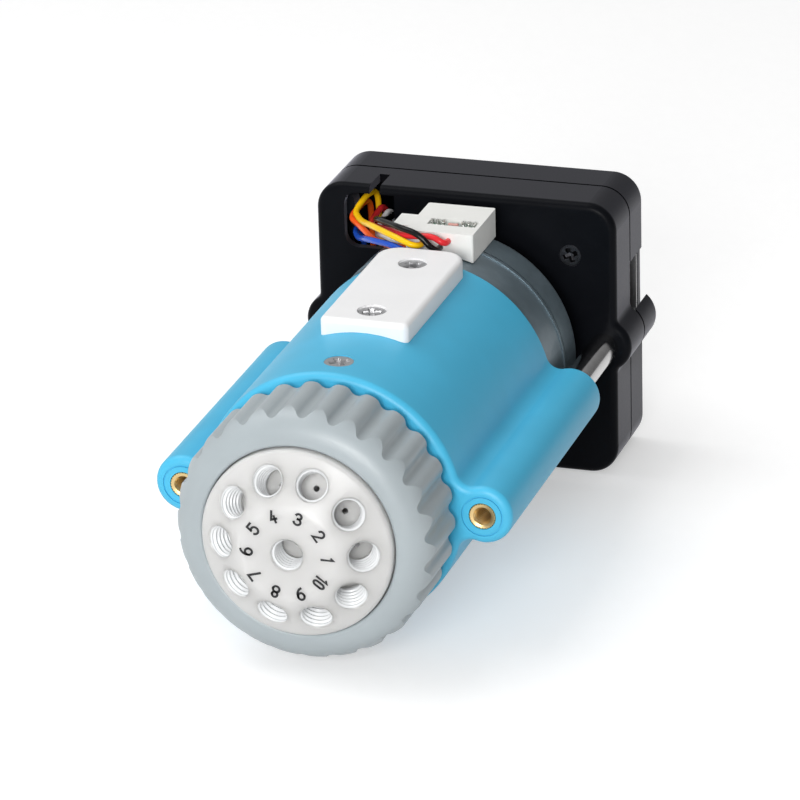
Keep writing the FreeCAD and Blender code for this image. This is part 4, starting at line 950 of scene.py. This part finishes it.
def photo_camera(studio):
    """Camera at the photograph's place."""
    az = studio.azimuth
    el = studio.elevation
    back = Vector((math.sin(az) * math.cos(el), -math.cos(az) * math.cos(el), math.sin(el)))
    right = Vector((math.cos(az), math.sin(az), 0))
    up = back.cross(right)
    c = math.cos(studio.roll)
    s = math.sin(studio.roll)
    across = right * c + up * s
    upright = up * c - right * s
    place = back * studio.distance + across * studio.aside[0] + upright * studio.aside[1]
    camera = bpy.data.cameras.new("photo_camera")
    camera.lens = studio.lens
    camera.sensor_width = 36
    camera.clip_end = 50
    holder = bpy.data.objects.new("photo_camera", camera)
    matrix = Matrix((across, upright, back)).transposed().to_4x4()
    matrix.translation = place
    holder.matrix_world = matrix
    bpy.context.scene.collection.objects.link(holder)
    bpy.context.scene.camera = holder


def room_light(strength):
    """Pale room, brighter overhead and at the left, seen as white by the camera."""
    world = bpy.data.worlds.new("studio_room")
    bpy.context.scene.world = world
    world.use_nodes = True
    tree = world.node_tree
    tree.nodes.clear()
    direction = Field(tree, tree.nodes.new("ShaderNodeTexCoord").outputs["Generated"])
    height = direction.part("Z").ranged(-0.2, 1.0, 0.72, 1.3)
    side = direction.part("X").ranged(-1.0, 1.0, 1.35, 0.4)
    seen = Field(tree, tree.nodes.new("ShaderNodeLightPath").outputs["Is Camera Ray"])
    level = seen + (1 - seen) * (height * side * strength)
    back = direction.node("ShaderNodeBackground", None, {"Color": (1, 1, 1), "Strength": level})
    output = tree.nodes.new("ShaderNodeOutputWorld")
    tree.links.new(back.socket, output.inputs[0])


class VALVE_OT_studio(bpy.types.Operator):
    """Lay the floor, hang the lamps and set the camera."""
    bl_idname = "valve.studio"
    bl_label = "Studio"

    def execute(self, context):
        scene = context.scene
        studio = scene.valve_studio
        reach = 6.0
        mesh = bpy.data.meshes.new("studio_floor")
        z = FLOOR_Z * MM
        mesh.from_pydata([(-reach, -reach, z), (reach, -reach, z), (reach, reach, z), (-reach, reach, z)],
                         [], [(0, 1, 2, 3)])
        mesh.materials.append(floor_finish())
        floor = bpy.data.objects.new("studio_floor", mesh)
        scene.collection.objects.link(floor)
        middle = (0, 40, 0)
        for name, place, size in LAMPS:
            area_lamp(name + "_lamp", place, middle, size, getattr(studio, name))
        room_light(studio.sky)
        photo_camera(studio)
        scene.view_settings.view_transform = "Standard"
        return {"FINISHED"}


class VALVE_PT_panel(bpy.types.Panel):
    """Buttons that make each part of the valve, and its sizes and colours."""
    bl_idname = "VALVE_PT_panel"
    bl_label = "Selector valve"
    bl_space_type = "VIEW_3D"
    bl_region_type = "UI"
    bl_category = "Valve"

    def draw(self, context):
        scene = context.scene
        for group in (scene.valve_colours, scene.valve_details, scene.valve_studio):
            box = self.layout.box()
            for name in group.__annotations__:
                box.prop(group, name)
        for operator in OPERATORS:
            self.layout.operator(operator.bl_idname)


OPERATORS = (
    VALVE_OT_finishes,
    VALVE_OT_port_threads,
    VALVE_OT_port_numbers,
    VALVE_OT_inserts,
    VALVE_OT_screws,
    VALVE_OT_terminals,
    VALVE_OT_studio,
)
CLASSES = (ValveColours, ValveDetails, ValveStudio) + OPERATORS + (VALVE_PT_panel,)


def register():
    """Register the classes and hang the settings on the scene."""
    for cls in CLASSES:
        bpy.utils.register_class(cls)
    bpy.types.Scene.valve_colours = PointerProperty(type=ValveColours)
    bpy.types.Scene.valve_details = PointerProperty(type=ValveDetails)
    bpy.types.Scene.valve_studio = PointerProperty(type=ValveStudio)


def unregister():
    """Take the settings and the classes away again."""
    del bpy.types.Scene.valve_colours
    del bpy.types.Scene.valve_details
    del bpy.types.Scene.valve_studio
    for cls in reversed(CLASSES):
        bpy.utils.unregister_class(cls)


def main():
    """Make every part in order."""
    register()
    for operator in OPERATORS:
        group, name = operator.bl_idname.split(".")
        getattr(getattr(bpy.ops, group), name)()


if __name__ == "__main__":
    main()
